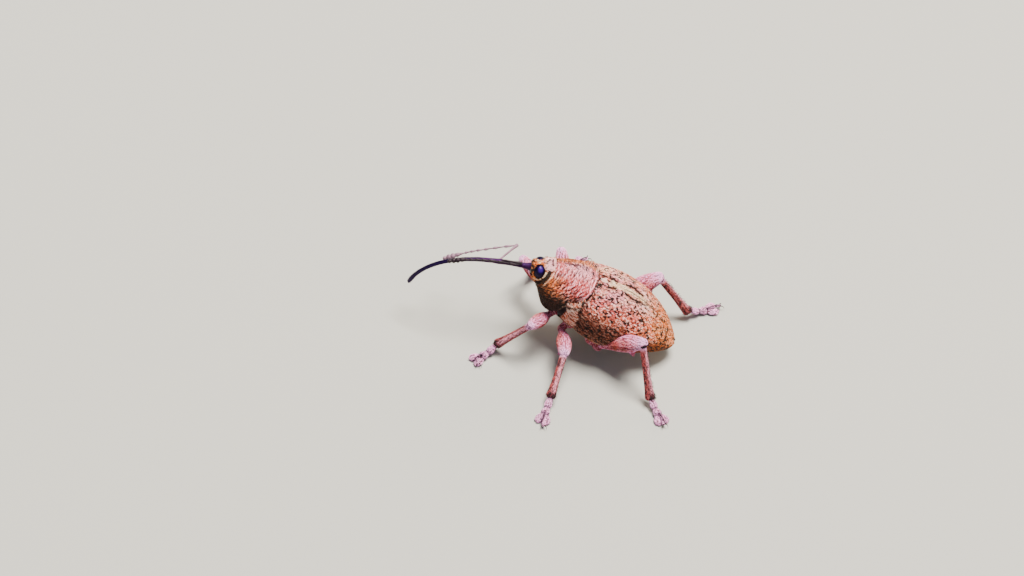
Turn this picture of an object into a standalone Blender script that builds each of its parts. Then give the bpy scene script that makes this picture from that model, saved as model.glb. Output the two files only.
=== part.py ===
"""Acorn weevil, a large female, standing as a still model of life size.

+Z up. The head points toward -Y and the animal's left side toward +X. The six feet stand on
small flats at z = 0, and the origin is on the floor under the middle of the model's box.

The hind body, pronotum and coxae are laid out in the body's own frame: x to the left, y to the rear
from the front edge of the elytra, z up from the line of the breast. That frame is then pitched nose
up and lifted. The head, snout, feelers and leg joints are laid out in the standing frame, which has
the scutellum over y = 0 and the floor at z = 0.
"""
from math import cos, pi, radians, sin, tan

import bmesh
import bpy
from mathutils import Matrix, Vector

# Sizes are in millimetres and the finished meshes are scaled to metres, because joining and cutting
# meshes of a few millimetres at their real size loses small faces
METRES = 0.001

# Air between nodes: 0.3 mm would be a tenth of this body's depth, so the gap is scaled down
GAP = 0.06
# The real leg shafts and feelers are 0.1 to 0.3 mm thick, too thin for a solid
LEAST_WIDTH = 0.45
TIP_WIDTH = 0.24

# Corners closer than this are welded after joining
WELD = 1e-4

# The block that cuts the soles off level
FLOOR_BLOCK = (Vector((-9.0, -12.0, -2.0)), Vector((9.0, 9.0, 0.0)))

# Stance
BODY_PITCH = radians(20.0)
SCUTELLUM_HEIGHT = 3.95
HEAD_TURN = radians(6.5)

# Hind body: elytra over the breast and belly
HIND_LENGTH = 4.90
HIND_FRONT = -0.12
HIND_HALF_WIDTH = 1.92
HIND_DEPTH = 3.34
ELYTRON_THICKNESS = 0.50
# Share of the length from the front, share of the greatest half width or depth
HALF_WIDTHS = ((0.0, 0.80), (0.05, 0.91), (0.14, 0.97), (0.28, 1.0), (0.45, 0.965), (0.62, 0.87),
               (0.78, 0.68), (0.90, 0.46), (0.97, 0.27), (1.0, 0.13))
TOPS = ((0.0, 0.89), (0.08, 0.915), (0.25, 0.945), (0.38, 0.93), (0.55, 0.87), (0.72, 0.76),
        (0.86, 0.62), (0.95, 0.50), (1.0, 0.43))
BOTTOMS = ((0.0, 0.03), (0.12, 0.0), (0.35, 0.0), (0.55, 0.07), (0.75, 0.20), (0.90, 0.30), (1.0, 0.36))
WIDEST_HEIGHTS = ((0.0, 0.48), (0.3, 0.44), (0.6, 0.44), (0.8, 0.455), (1.0, 0.41))
# The elytron's side edge, as an angle under the widest line
ELYTRON_EDGE = radians(28.0)
EDGE_STEP = radians(3.5)
# The belly's core stops short of the solid tips of the elytra
BELLY_END = 0.93

# Pronotum
PRONOTUM_LENGTH = 2.18
PRONOTUM_RADIUS = 1.34
PRONOTUM_REAR_HEIGHT = 1.69
PRONOTUM_RISE = radians(3.0)
PRONOTUM_RADII = ((0.0, 0.955), (0.10, 0.99), (0.25, 1.0), (0.45, 0.93), (0.65, 0.80), (0.82, 0.67),
                  (0.93, 0.59), (1.0, 0.56))
PRONOTUM_ROUNDING = 0.97
# Its lower half is deeper toward the front, where the breast carries the front legs
BREAST_DEEPENING = 0.30
# Its front margin reaches forward below: by all of this under the first height, by none above the second
PRONOTUM_CHIN = 0.15
PRONOTUM_CHIN_HEIGHTS = (1.70, 2.50)
# Its rear face leans forward down the sides: by all of this below the first height, by none above the second
PRONOTUM_LEAN = 0.87
PRONOTUM_LEAN_HEIGHTS = (1.35, 2.80)
# The elytra's shoulders follow it forward, least at the first height, within this share of their length
SHOULDER_LEAN = 0.42
SHOULDER_LEAN_HEIGHTS = (1.25, 2.20)
SHOULDER_SHARE = 0.22

# Middle breast, which fills the side between pronotum and elytra
MIDDLE_BREAST_LENGTH = 0.66
MIDDLE_BREAST_TOP = radians(18.0)
# Its section is the hind body's at this share of the length, drawn in a little, and it narrows forward
BREAST_SHARE = 0.03
BREAST_INSET = 0.04
BREAST_NARROWING = 0.25
# The hind body's core runs this share of its length ahead of the elytra, into the middle breast
CORE_LEAD = 0.05

# Scutellum, a small plate between the bases of the elytra
SCUTELLUM_LENGTH = 0.40
SCUTELLUM_WIDTH = 0.28
SCUTELLUM_DEPTH = 0.34
SCUTELLUM_Y = 0.15

# Head, in the standing frame
HEAD_CENTRE = Vector((0.0, -2.95, 3.70))
HEAD_RADIUS = 0.68
# The front of the globe is drawn up to the snout, and a straight neck rises behind it into the pronotum
HEAD_FRONT_RISE = 0.17
HEAD_FRONT_SPAN = (0.15, 0.62)
HEAD_FRONT_ANGLE = radians(8.0)
HEAD_NECK_LENGTH = 0.55
HEAD_NECK_SLOPE = 0.12
EYE_DIRECTION = Vector((0.67, 0.37, 0.645))
EYE_LENGTH = 0.54
EYE_HEIGHT = 0.66
EYE_BULGE = 0.04
EYE_DEPTH = 0.26

# Snout: it leaves the head level and bends down along its length
SNOUT_LENGTH = 6.35
SNOUT_ROOT_FORWARD = 0.62
SNOUT_ROOT_UP = 0.20
SNOUT_RISE = radians(5.0)
SNOUT_BEND = radians(78.0)
# Share of the snout's length and width there; the real one is 0.22 mm thick
SNOUT_WIDTHS = ((0.0, 0.46), (0.12, 0.39), (0.75, 0.38), (1.0, 0.32))
FEELER_PLACE = 0.235

# Legs. The femur bows outwards along these shares of its width, and carries a tooth below
FEMUR_WIDTHS = ((0.0, 0.50), (0.18, 0.58), (0.40, 0.86), (0.62, 1.0), (0.80, 0.84), (0.92, 0.62), (1.0, 0.54))
TOOTH_PLACE = 0.70
TOOTH_REACH = 0.22
TOOTH_ROOT_SHARE = 0.8
POINT_WIDTH = 0.06
# The balls that round off hip and knee are a little wider than the shafts
JOINT_SHARE = 1.04
SHIN_BOW = 0.04

# Foot: shares of the way from ankle to sole where its joints end, and how high they lie over its half width
FIRST_JOINT = (0.42, 0.05)
SECOND_JOINT = (0.74, 0.0)
TARSUS_WIDTH = 0.42
SOLE_RISE = 0.05
LOBE_RADII = (0.18, 0.23, 0.18)
LOBE_ASIDE = 0.16
LOBE_AHEAD = 0.06
LOBE_SPLAY = 0.25
# The claw joint starts this far back inside the tarsus, so that their end faces never meet
CLAW_ROOT = 0.16
CLAW_LIFT = 0.10
# The claw joint bends here: share of the way to its end, and how far its height is over the lift
CLAW_BEND = (0.7, 1.1)
CLAW_JOINT_WIDTHS = (TIP_WIDTH * 1.1, TIP_WIDTH, TIP_WIDTH)
CLAW_WIDTHS = (TIP_WIDTH * 0.7, TIP_WIDTH * 0.55, POINT_WIDTH)
# Each claw's points past the joint's end: ahead, aside as a share of ahead, and height over the soles' line
CLAW_POINTS = ((-0.05, 0.0, 0.10), (0.12, 0.9, 0.08), (0.22, 0.7, -0.04))

# Each leg's kind: half width, place along the body and height of its coxa in the body's frame, the
# coxa's radius and the femur's greatest width
COXAE = {
    "front": (Vector((0.40, -1.02, 0.40)), 0.38, 0.62),
    "middle": (Vector((0.66, -0.10, 0.26)), 0.36, 0.68),
    "hind": (Vector((1.08, 1.15, 0.34)), 0.38, 0.86),
}
# Each leg's joints in the standing frame, in millimetres: hip, knee, ankle, lobed sole and claws
LEG_POSES = {
    "front_left": ((0.50, -2.12, 1.55), (2.19, -2.97, 2.20), (2.25, -4.31, 0.55),
                   (3.11, -5.12, 0.15), (3.38, -5.02, 0.12)),
    "middle_left": ((0.92, -1.51, 1.10), (2.92, -1.15, 1.60), (4.72, -1.35, 0.50),
                    (5.91, -1.50, 0.15), (6.32, -1.42, 0.12)),
    "hind_left": ((1.45, 0.30, 0.95), (2.20, 2.38, 2.62), (3.49, 3.25, 0.50),
                  (4.40, 3.94, 0.15), (4.68, 4.10, 0.12)),
    "front_right": ((-0.50, -2.12, 1.60), (-1.85, -3.99, 2.25), (-2.95, -3.35, 0.50),
                    (-3.70, -2.95, 0.15), (-4.03, -2.80, 0.12)),
    "middle_right": ((-0.92, -1.45, 1.10), (-2.75, -2.29, 2.40), (-3.60, -1.80, 0.50),
                     (-4.37, -1.24, 0.15), (-4.62, -1.00, 0.12)),
    "hind_right": ((-1.45, 0.45, 0.95), (-2.30, 2.55, 2.50), (-2.42, 4.19, 0.50),
                   (-3.17, 5.31, 0.15), (-3.40, 5.62, 0.12)),
}

# The right feeler stands off the snout: elbow, middle, club's root and tip in the head's frame
RIGHT_FEELER = ((-1.22, 1.30, 0.23), (-1.20, 2.10, -0.05), (-1.13, 3.24, -0.45), (-1.06, 3.88, -0.71),
                (-0.95, 4.63, -1.05))
# The left feeler is folded along the snout: shares of the snout's length where the scape ends and where
# the whip starts and ends, and the sides that they lie on, as angles from the left side to the top
SCAPE_SHARE = 0.07
SCAPE_ANGLE = radians(72.0)
WHIP_SHARES = (0.10, 0.62)
WHIP_ANGLE = radians(34.0)
SCAPE_INSET = 0.10
# Widths at the whip's last points, which are its club
CLUB_WIDTHS = (0.50, 0.50, 0.45, 0.30)

# Finishes: linear colour and roughness
SCALES = ((0.40, 0.17, 0.06), 0.75)
CREAM = ((0.80, 0.72, 0.55), 0.8)
BLACK = ((0.015, 0.01, 0.02), 0.25)
SNOUT_BROWN = ((0.05, 0.015, 0.02), 0.2)
DARK_BELLY = ((0.10, 0.05, 0.03), 0.7)
LEG_PINK = ((0.42, 0.16, 0.12), 0.6)


def body_matrix():
    """The body frame's place in the standing frame."""
    turn = Matrix.Rotation(-BODY_PITCH, 4, "X")
    top = interpolate(TOPS, (SCUTELLUM_Y - HIND_FRONT) / HIND_LENGTH) * HIND_DEPTH
    scutellum = turn @ Vector((0.0, SCUTELLUM_Y, top))
    return Matrix.Translation(Vector((0.0, 0.0, SCUTELLUM_HEIGHT)) - scutellum) @ turn


def interpolate(table, share):
    """A smooth value from a short table of (share, value) pairs."""
    share = min(max(share, table[0][0]), table[-1][0])
    for index in range(len(table) - 1):
        if share <= table[index + 1][0]:
            break
    before, start, end = table[max(index - 1, 0)], table[index], table[index + 1]
    after = table[min(index + 2, len(table) - 1)]
    span = end[0] - start[0]
    step = (share - start[0]) / span
    slope_start = (end[1] - before[1]) / (end[0] - before[0]) * span
    slope_end = (after[1] - start[1]) / (after[0] - start[0]) * span
    return ((2 * step**3 - 3 * step**2 + 1) * start[1] + (step**3 - 2 * step**2 + step) * slope_start
            + (3 * step**2 - 2 * step**3) * end[1] + (step**3 - step**2) * slope_end)


def spaced(start, end, count):
    """Evenly spaced values from start to end, both ends with them."""
    return [start + (end - start) * index / (count - 1) for index in range(count)]


def add_object(name, mesh, collection):
    """A named object in a collection."""
    thing = bpy.data.objects.new(name, mesh)
    collection.objects.link(thing)
    return thing


def loft(name, rings, mirror, collection):
    """A closed solid through rings of points that all have the same count.

    The numbers of two mirrored points of a ring add up to mirror, and strips between them close the ends.
    """
    grid = bmesh.new()
    verts = [[grid.verts.new(point) for point in ring] for ring in rings]
    count = len(rings[0])
    for near, far in zip(verts, verts[1:]):
        for index in range(count):
            after = (index + 1) % count
            grid.faces.new((near[index], near[after], far[after], far[index]))
    start = (mirror + 1) // 2
    strips = (count - 2 * start + mirror) // 2
    for ring in (verts[0], verts[-1]):
        for step in range(strips):
            left, right = start + step, mirror - start - step
            corners = [ring[index % count] for index in (left, left + 1, right - 1, right)]
            grid.faces.new(list(dict.fromkeys(corners)))
    bmesh.ops.recalc_face_normals(grid, faces=grid.faces)
    mesh = bpy.data.meshes.new(name)
    grid.to_mesh(mesh)
    grid.free()
    return add_object(name, mesh, collection)


def tube(name, points, widths, collection, resolution=2):
    """A round limb through points, with a width at each, as a closed mesh."""
    curve = bpy.data.curves.new(name, "CURVE")
    curve.dimensions = "3D"
    curve.bevel_depth = 1.0
    curve.bevel_resolution = resolution
    curve.use_fill_caps = True
    spline = curve.splines.new("POLY")
    spline.points.add(len(points) - 1)
    for knot, point, width in zip(spline.points, points, widths):
        knot.co = (*point, 1.0)
        knot.radius = width / 2
    source = add_object(name + "_curve", curve, collection)
    bpy.context.view_layer.update()
    mesh = bpy.data.meshes.new_from_object(source.evaluated_get(bpy.context.evaluated_depsgraph_get()))
    bpy.data.objects.remove(source)
    grid = bmesh.new()
    grid.from_mesh(mesh)
    bmesh.ops.remove_doubles(grid, verts=grid.verts, dist=1e-4)
    bmesh.ops.recalc_face_normals(grid, faces=grid.faces)
    grid.to_mesh(mesh)
    grid.free()
    return add_object(name, mesh, collection)


def ball(name, matrix, radii, collection, segments=14, rings=8):
    """An ellipsoid with three radii, set by a matrix."""
    mesh = bpy.data.meshes.new(name)
    grid = bmesh.new()
    bmesh.ops.create_uvsphere(grid, u_segments=segments, v_segments=rings, radius=1.0)
    bmesh.ops.transform(grid, matrix=matrix @ Matrix.Diagonal((*radii, 1.0)), verts=grid.verts)
    bmesh.ops.recalc_face_normals(grid, faces=grid.faces)
    grid.to_mesh(mesh)
    grid.free()
    return add_object(name, mesh, collection)


def box(name, corners, collection):
    """A block between its lowest and highest corners."""
    low, high = corners
    mesh = bpy.data.meshes.new(name)
    grid = bmesh.new()
    bmesh.ops.create_cube(grid, size=1.0)
    bmesh.ops.transform(grid, matrix=Matrix.Translation((low + high) / 2) @ Matrix.Diagonal((*(high - low), 1.0)),
                        verts=grid.verts)
    grid.to_mesh(mesh)
    grid.free()
    return add_object(name, mesh, collection)


def apply_boolean(thing, operation, others, solver="EXACT"):
    """Joins the others to a thing, or cuts them from it, and applies the result."""
    operands = bpy.data.collections.new("operands")
    for other in others:
        operands.objects.link(other)
    modifier = thing.modifiers.new("boolean", "BOOLEAN")
    modifier.operation = operation
    modifier.operand_type = "COLLECTION"
    modifier.collection = operands
    modifier.solver = solver
    bpy.context.view_layer.update()
    mesh = bpy.data.meshes.new_from_object(thing.evaluated_get(bpy.context.evaluated_depsgraph_get()))
    thing.modifiers.clear()
    thing.data = mesh
    bpy.data.collections.remove(operands)


def keep_largest(thing):
    """Keeps only the closed surface with the most volume."""
    grid = bmesh.new()
    grid.from_mesh(thing.data)
    bmesh.ops.remove_doubles(grid, verts=grid.verts, dist=WELD)
    left = set(grid.verts)
    islands = []
    while left:
        island = set()
        front = [left.pop()]
        while front:
            vert = front.pop()
            island.add(vert)
            fresh = [edge.other_vert(vert) for edge in vert.link_edges if edge.other_vert(vert) in left]
            left.difference_update(fresh)
            front.extend(fresh)
        islands.append(island)
    largest = max(islands, key=volume)
    bmesh.ops.delete(grid, geom=[vert for vert in grid.verts if vert not in largest], context="VERTS")
    grid.to_mesh(thing.data)
    grid.free()


def volume(island):
    """The volume that the faces of a set of joined vertices close in."""
    total = 0.0
    for face in {face for vert in island for face in vert.link_faces}:
        corners = [vert.co for vert in face.verts]
        for index in range(1, len(corners) - 1):
            total += corners[0].dot(corners[index].cross(corners[index + 1])) / 6
    return abs(total)


def finish_node(thing, finish):
    """Gives a node its material and smooth faces."""
    colour, roughness = finish
    material = bpy.data.materials.new(thing.name)
    material.use_nodes = True
    shader = material.node_tree.nodes["Principled BSDF"]
    shader.inputs["Base Color"].default_value = (*colour, 1.0)
    shader.inputs["Roughness"].default_value = roughness
    thing.data.materials.clear()
    thing.data.materials.append(material)
    thing.data.shade_smooth()
    thing.data.set_sharp_from_angle(angle=radians(40))


def hind_outline(share, angle):
    """A point of the hind body's left outline: the angle runs from 90 degrees on top to -90."""
    half_width = interpolate(HALF_WIDTHS, share) * HIND_HALF_WIDTH
    middle = interpolate(WIDEST_HEIGHTS, share) * HIND_DEPTH
    reach = interpolate(TOPS if angle > 0 else BOTTOMS, share) * HIND_DEPTH - middle
    return Vector((half_width * cos(angle) ** 0.9, HIND_FRONT + share * HIND_LENGTH,
                   middle + abs(reach) * abs(sin(angle)) ** 0.95 * (1 if angle > 0 else -1)))


def smooth_step(low, high, value):
    """A smooth step from 0 at low to 1 at high."""
    share = min(max((value - low) / (high - low), 0.0), 1.0)
    return share * share * (3 - 2 * share)


def pronotum_lean(height):
    """How far forward the pronotum's rear face lies at a height in the body's frame."""
    return PRONOTUM_LEAN * (1 - smooth_step(*PRONOTUM_LEAN_HEIGHTS, height))


def shoulder_lean(height):
    """How far forward the elytra's front face lies at a height in the body's frame."""
    return min(pronotum_lean(height), SHOULDER_LEAN * smooth_step(*SHOULDER_LEAN_HEIGHTS, height))


def inset(point, share, depth):
    """Draws an outline point in toward the middle of its section."""
    middle = Vector((0.0, point.y, interpolate(WIDEST_HEIGHTS, share) * HIND_DEPTH))
    half_width = interpolate(HALF_WIDTHS, share) * HIND_HALF_WIDTH
    return middle + (point - middle) * max(1 - depth / half_width, 0.12)


def make_elytron(name, side, frame, collection):
    """One elytron, a curved shell with a solid tip; side is 1 for the left and -1 for the right."""
    angles = spaced(pi / 2, -ELYTRON_EDGE, 12)
    rings = []
    for share in spaced(0.0, 1.0, 17):
        outer = [hind_outline(share, angle) for angle in angles]
        inner = [inset(point, share, ELYTRON_THICKNESS) for point in reversed(outer)]
        fade = max(1 - share / SHOULDER_SHARE, 0.0) ** 2
        ring = [Vector((max(point.x, GAP / 2) * side, point.y - shoulder_lean(point.z) * fade, point.z))
                for point in outer + inner]
        rings.append([frame @ point for point in ring])
    return loft(name, rings, 2 * len(angles) - 1, collection)


def make_underside(name, frame, collection):
    """Breast and belly: full width under the elytra's edges, and a core within them."""
    upper = spaced(pi / 2, -ELYTRON_EDGE, 9)
    lower = spaced(-ELYTRON_EDGE - EDGE_STEP, -pi / 2, 7)
    rings = []
    for share in [-CORE_LEAD] + spaced(0.0, BELLY_END, 15):
        half = [inset(hind_outline(share, angle), share, ELYTRON_THICKNESS + GAP) for angle in upper]
        half += [hind_outline(share, angle) for angle in lower]
        ring = half + [Vector((-point.x, point.y, point.z)) for point in reversed(half[1:-1])]
        rings.append([frame @ point for point in ring])
    return loft(name, rings, 0, collection)


def make_hind_cutter(name, frame, collection):
    """The whole hind body's outer form, a gap larger all round."""
    rings = []
    for share in spaced(0.0, 1.0, 20):
        half = [inset(hind_outline(share, angle), share, -GAP) for angle in spaced(pi / 2, -pi / 2, 20)]
        ring = half + [Vector((-point.x, point.y, point.z)) for point in reversed(half[1:-1])]
        rings.append([frame @ point for point in ring])
    return loft(name, rings, 0, collection)


def make_pronotum(name, frame, collection, grow=0.0):
    """The pronotum, a rounded cone that narrows toward the head."""
    rings = []
    for share in spaced(0.0, 1.0, 12):
        radius = interpolate(PRONOTUM_RADII, share) * PRONOTUM_RADIUS + grow
        height = PRONOTUM_REAR_HEIGHT + tan(PRONOTUM_RISE) * share * PRONOTUM_LENGTH
        ring = []
        for angle in spaced(0, 2 * pi, 33)[:-1]:
            depth = PRONOTUM_ROUNDING * radius * sin(angle)
            if depth < 0:
                depth *= 1 + BREAST_DEEPENING * sin(pi * share**0.8)
            z = height + depth
            rear = HIND_FRONT - GAP + grow - pronotum_lean(z)
            chin = PRONOTUM_CHIN * (1 - smooth_step(*PRONOTUM_CHIN_HEIGHTS, z))
            front = HIND_FRONT - GAP - PRONOTUM_LENGTH - grow - chin
            ring.append(frame @ Vector((radius * cos(angle), rear + share * (front - rear), z)))
        rings.append(ring)
    return loft(name, rings, len(rings[0]) // 2, collection)


def make_middle_breast(name, frame, collection, grow=0.0):
    """The breast between the elytra's front faces and the pronotum's leaning rear face."""
    length = MIDDLE_BREAST_LENGTH + 2 * grow
    rings = []
    for step in spaced(0.0, 1.0, 6):
        half = [inset(hind_outline(BREAST_SHARE, angle), BREAST_SHARE, BREAST_INSET - grow)
                for angle in spaced(MIDDLE_BREAST_TOP, -pi / 2, 12)]
        half[0].z += grow
        narrowing = 1 - BREAST_NARROWING * step**2
        ring = [Vector((point.x * narrowing, HIND_FRONT - GAP + grow - shoulder_lean(point.z) - step * length,
                        point.z)) for point in half]
        ring += [Vector((-point.x, point.y, point.z)) for point in reversed(ring[:-1])]
        rings.append([frame @ point for point in ring])
    return loft(name, rings, len(rings[0]) - 1, collection)


def make_scutellum(name, frame, collection, grow=0.0):
    """The small plate between the bases of the elytra."""
    top = interpolate(TOPS, (SCUTELLUM_Y - HIND_FRONT) / HIND_LENGTH) * HIND_DEPTH
    place = frame @ Matrix.Translation((0.0, SCUTELLUM_Y, top - 0.35 * SCUTELLUM_DEPTH))
    radii = [size / 2 + grow for size in (SCUTELLUM_WIDTH, SCUTELLUM_LENGTH, SCUTELLUM_DEPTH)]
    return ball(name, place, radii, collection, segments=14, rings=8)


def head_frame():
    """The head's own frame: x to its left, y forward, z up."""
    turn = Matrix.Rotation(HEAD_TURN, 3, "Z")
    left, forward, up = turn @ Vector((1, 0, 0)), turn @ Vector((0, -1, 0)), Vector((0, 0, 1))
    frame = Matrix((left, forward, up)).transposed().to_4x4()
    frame.translation = HEAD_CENTRE
    return frame


def make_head(name, collection, grow=0.0):
    """The head, a globe with a straight neck."""
    reach = HEAD_RADIUS + grow
    globe = [(reach * cos(angle), reach * sin(angle)) for angle in spaced(HEAD_FRONT_ANGLE, pi / 2, 8)]
    neck = [(-HEAD_NECK_LENGTH * share, reach) for share in (0.35, 0.7, 1.0)]
    rings = []
    for forward, radius in globe + neck:
        height = HEAD_FRONT_RISE * smooth_step(*HEAD_FRONT_SPAN, forward) - HEAD_NECK_SLOPE * min(forward, 0.0)
        rings.append([head_frame() @ Vector((radius * cos(angle), forward, height + radius * sin(angle)))
                      for angle in spaced(0, 2 * pi, 25)[:-1]])
    return loft(name, rings, len(rings[0]) // 2, collection)


def make_eye(name, side, collection, grow=0.0):
    """One eye, a shallow oval dome set in the head."""
    outward = Vector((EYE_DIRECTION.x * side, EYE_DIRECTION.y, EYE_DIRECTION.z)).normalized()
    along = Vector((0, 1, 0)) - outward * outward.y
    along.normalize()
    place = Matrix((along, outward.cross(along), outward)).transposed().to_4x4()
    place.translation = outward * (HEAD_RADIUS + EYE_BULGE - EYE_DEPTH)
    radii = (EYE_LENGTH / 2 + grow, EYE_HEIGHT / 2 + grow, EYE_DEPTH + grow)
    return ball(name, head_frame() @ place, radii, collection)


def snout_point(share):
    """A point on the snout's middle line."""
    steps = 40
    place = Vector((0.0, SNOUT_ROOT_FORWARD, SNOUT_ROOT_UP))
    for index in range(steps):
        along = (index + 0.5) / steps * share
        angle = SNOUT_RISE - SNOUT_BEND * along**2
        place += Vector((0.0, cos(angle), sin(angle))) * SNOUT_LENGTH * share / steps
    return head_frame() @ place


def make_snout(name, collection, grow=0.0):
    """The long curved snout."""
    shares = [-0.06] + spaced(0.0, 1.0, 18)
    points = [snout_point(share) for share in shares]
    widths = [interpolate(SNOUT_WIDTHS, share) + 2 * grow for share in shares]
    return tube(name, points, widths, collection, 3)


def smooth_path(points, steps):
    """Points along a smooth curve through a few given ones."""
    path = []
    for index in range(len(points) - 1):
        before, start, end = points[max(index - 1, 0)], points[index], points[index + 1]
        after = points[min(index + 2, len(points) - 1)]
        for step in range(steps):
            t = step / steps
            path.append(0.5 * (2 * start + (end - before) * t
                               + (2 * before - 5 * start + 4 * end - after) * t**2
                               + (3 * start - before - 3 * end + after) * t**3))
    return path + [points[-1]]


def make_feeler(name, side, collection):
    """One elbowed feeler: scape, whip and club. Side is 1 for the left and -1 for the right."""
    root = head_frame().inverted() @ snout_point(FEELER_PLACE)
    if side < 0:
        places = [root + Vector((-SCAPE_INSET, 0.0, 0.0))] + [Vector(point) for point in RIGHT_FEELER]
        scape, whip = smooth_path(places[:2], 4), smooth_path(places[1:], 4)
    else:
        scape = [root] + [beside_snout(share, SCAPE_ANGLE) for share in spaced(FEELER_PLACE, SCAPE_SHARE, 5)]
        whip = scape[-1:] + [beside_snout(share, WHIP_ANGLE) for share in spaced(*WHIP_SHARES, 12)]
    frame = head_frame()
    pieces = []
    club = len(CLUB_WIDTHS)
    for part, points, ends in (("scape", scape, [LEAST_WIDTH] * club), ("whip", whip, CLUB_WIDTHS)):
        widths = [LEAST_WIDTH] * (len(points) - club) + list(ends)
        pieces.append(tube(f"{name}_{part}", [frame @ point for point in points], widths, collection))
    pieces.append(ball(name + "_elbow", Matrix.Translation(frame @ scape[-1]), (LEAST_WIDTH / 2,) * 3,
                       collection, 8, 6))
    return pieces


def beside_snout(share, angle):
    """A point beside the snout in the head's frame; the angle turns from its left side to its top."""
    reach = interpolate(SNOUT_WIDTHS, share) / 2 + GAP + LEAST_WIDTH / 2
    centre = head_frame().inverted() @ snout_point(share)
    return centre + Vector((cos(angle), 0.0, sin(angle))) * reach


def make_leg(name, kind, side, frame, collection):
    """One leg's overlapping pieces: coxa, femur with its tooth, tibia, tarsus, lobes and claws."""
    place, coxa_radius, femur_width = COXAE[kind]
    coxa = frame @ Vector((place.x * side, place.y, place.z))
    hip, knee, ankle, sole, claws = (Vector(point) for point in LEG_POSES[name])
    pieces = [ball("coxa", Matrix.Translation(coxa), (coxa_radius,) * 3, collection, 10, 6)]
    pieces.append(tube("trochanter", [coxa, hip], [LEAST_WIDTH] * 2, collection))
    shares = spaced(0.0, 1.0, 8)
    widths = [max(interpolate(FEMUR_WIDTHS, share) * femur_width, LEAST_WIDTH) for share in shares]
    pieces.append(tube("femur", [hip.lerp(knee, share) for share in shares], widths, collection))
    for joint in (hip, knee):
        pieces.append(ball("joint", Matrix.Translation(joint), (LEAST_WIDTH / 2 * JOINT_SHARE,) * 3, collection,
                           8, 5))
    along = (knee - hip).normalized()
    inward = (ankle - knee) - along * (ankle - knee).dot(along)
    inward.normalize()
    root = hip.lerp(knee, TOOTH_PLACE)
    pieces.append(tube("tooth", [root, root + inward * (femur_width / 2 + TOOTH_REACH)],
                       [femur_width * TOOTH_ROOT_SHARE, POINT_WIDTH], collection))
    joints = []
    for share, rise in (FIRST_JOINT, SECOND_JOINT):
        joint = ankle.lerp(sole, share)
        joint.z = TARSUS_WIDTH / 2 + rise
        joints.append(joint)
    path = [knee, knee.lerp(ankle, 0.5) - inward * SHIN_BOW, ankle, *joints, sole + Vector((0, 0, SOLE_RISE))]
    pieces.append(tube("shin", smooth_path(path, 2), [LEAST_WIDTH] * 5 + [TARSUS_WIDTH] * 6, collection))
    pieces.extend(make_foot(ankle, sole, claws, collection))
    return pieces


def make_foot(ankle, sole, claws, collection):
    """The end of the tarsus: a pair of lobes and a claw joint with its two claws."""
    pieces = []
    heading = sole - ankle
    heading.z = 0
    heading.normalize()
    across = Vector((-heading.y, heading.x, 0))
    turn = Matrix((across, heading, Vector((0, 0, 1)))).transposed().to_4x4()
    for side in (-1, 1):
        spot = sole + across * side * LOBE_ASIDE + heading * LOBE_AHEAD
        pieces.append(ball("lobe", Matrix.Translation(spot) @ turn @ Matrix.Rotation(-LOBE_SPLAY * side, 4, "Z"),
                           LOBE_RADII, collection, 8, 6))
    forward = claws - sole
    forward.z = 0
    reach = forward.length
    forward.normalize()
    lift = Vector((0, 0, CLAW_LIFT))
    bend, rise = CLAW_BEND
    path = [sole + lift - heading * CLAW_ROOT, sole + forward * reach * bend + lift * rise, claws + lift]
    pieces.append(tube("claw_joint", path, CLAW_JOINT_WIDTHS, collection, 1))
    aside = Vector((-forward.y, forward.x, 0))
    for side in (-1, 1):
        path = [claws + forward * ahead + aside * side * ahead * spread + Vector((0, 0, rise))
                for ahead, spread, rise in CLAW_POINTS]
        pieces.append(tube("claw", path, CLAW_WIDTHS, collection, 0))
    return pieces


def fused(name, pieces, cutters, collection):
    """One closed node from overlapping pieces, less copies of the cutters."""
    first = pieces[0]
    if len(pieces) > 1:
        apply_boolean(first, "UNION", pieces[1:])
    for piece in pieces[1:]:
        bpy.data.objects.remove(piece)
    for cutter in cutters:
        apply_boolean(first, "DIFFERENCE", [cutter])
    keep_largest(first)
    first.name = name
    first.data.name = name
    return first


def stand_on_origin(nodes):
    """Scales the nodes to metres and hangs them on an empty over the middle of their box."""
    for node in nodes:
        node.data.transform(Matrix.Scale(METRES, 4))
    corners = [vert.co for node in nodes for vert in node.data.vertices]
    low = Vector([min(corner[axis] for corner in corners) for axis in range(3)])
    high = Vector([max(corner[axis] for corner in corners) for axis in range(3)])
    stance = bpy.data.objects.new("stance", None)
    stance.location = (-(low.x + high.x) / 2, -(low.y + high.y) / 2, -low.z)
    nodes[0].users_collection[0].objects.link(stance)
    for node in nodes:
        node.parent = stance


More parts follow.
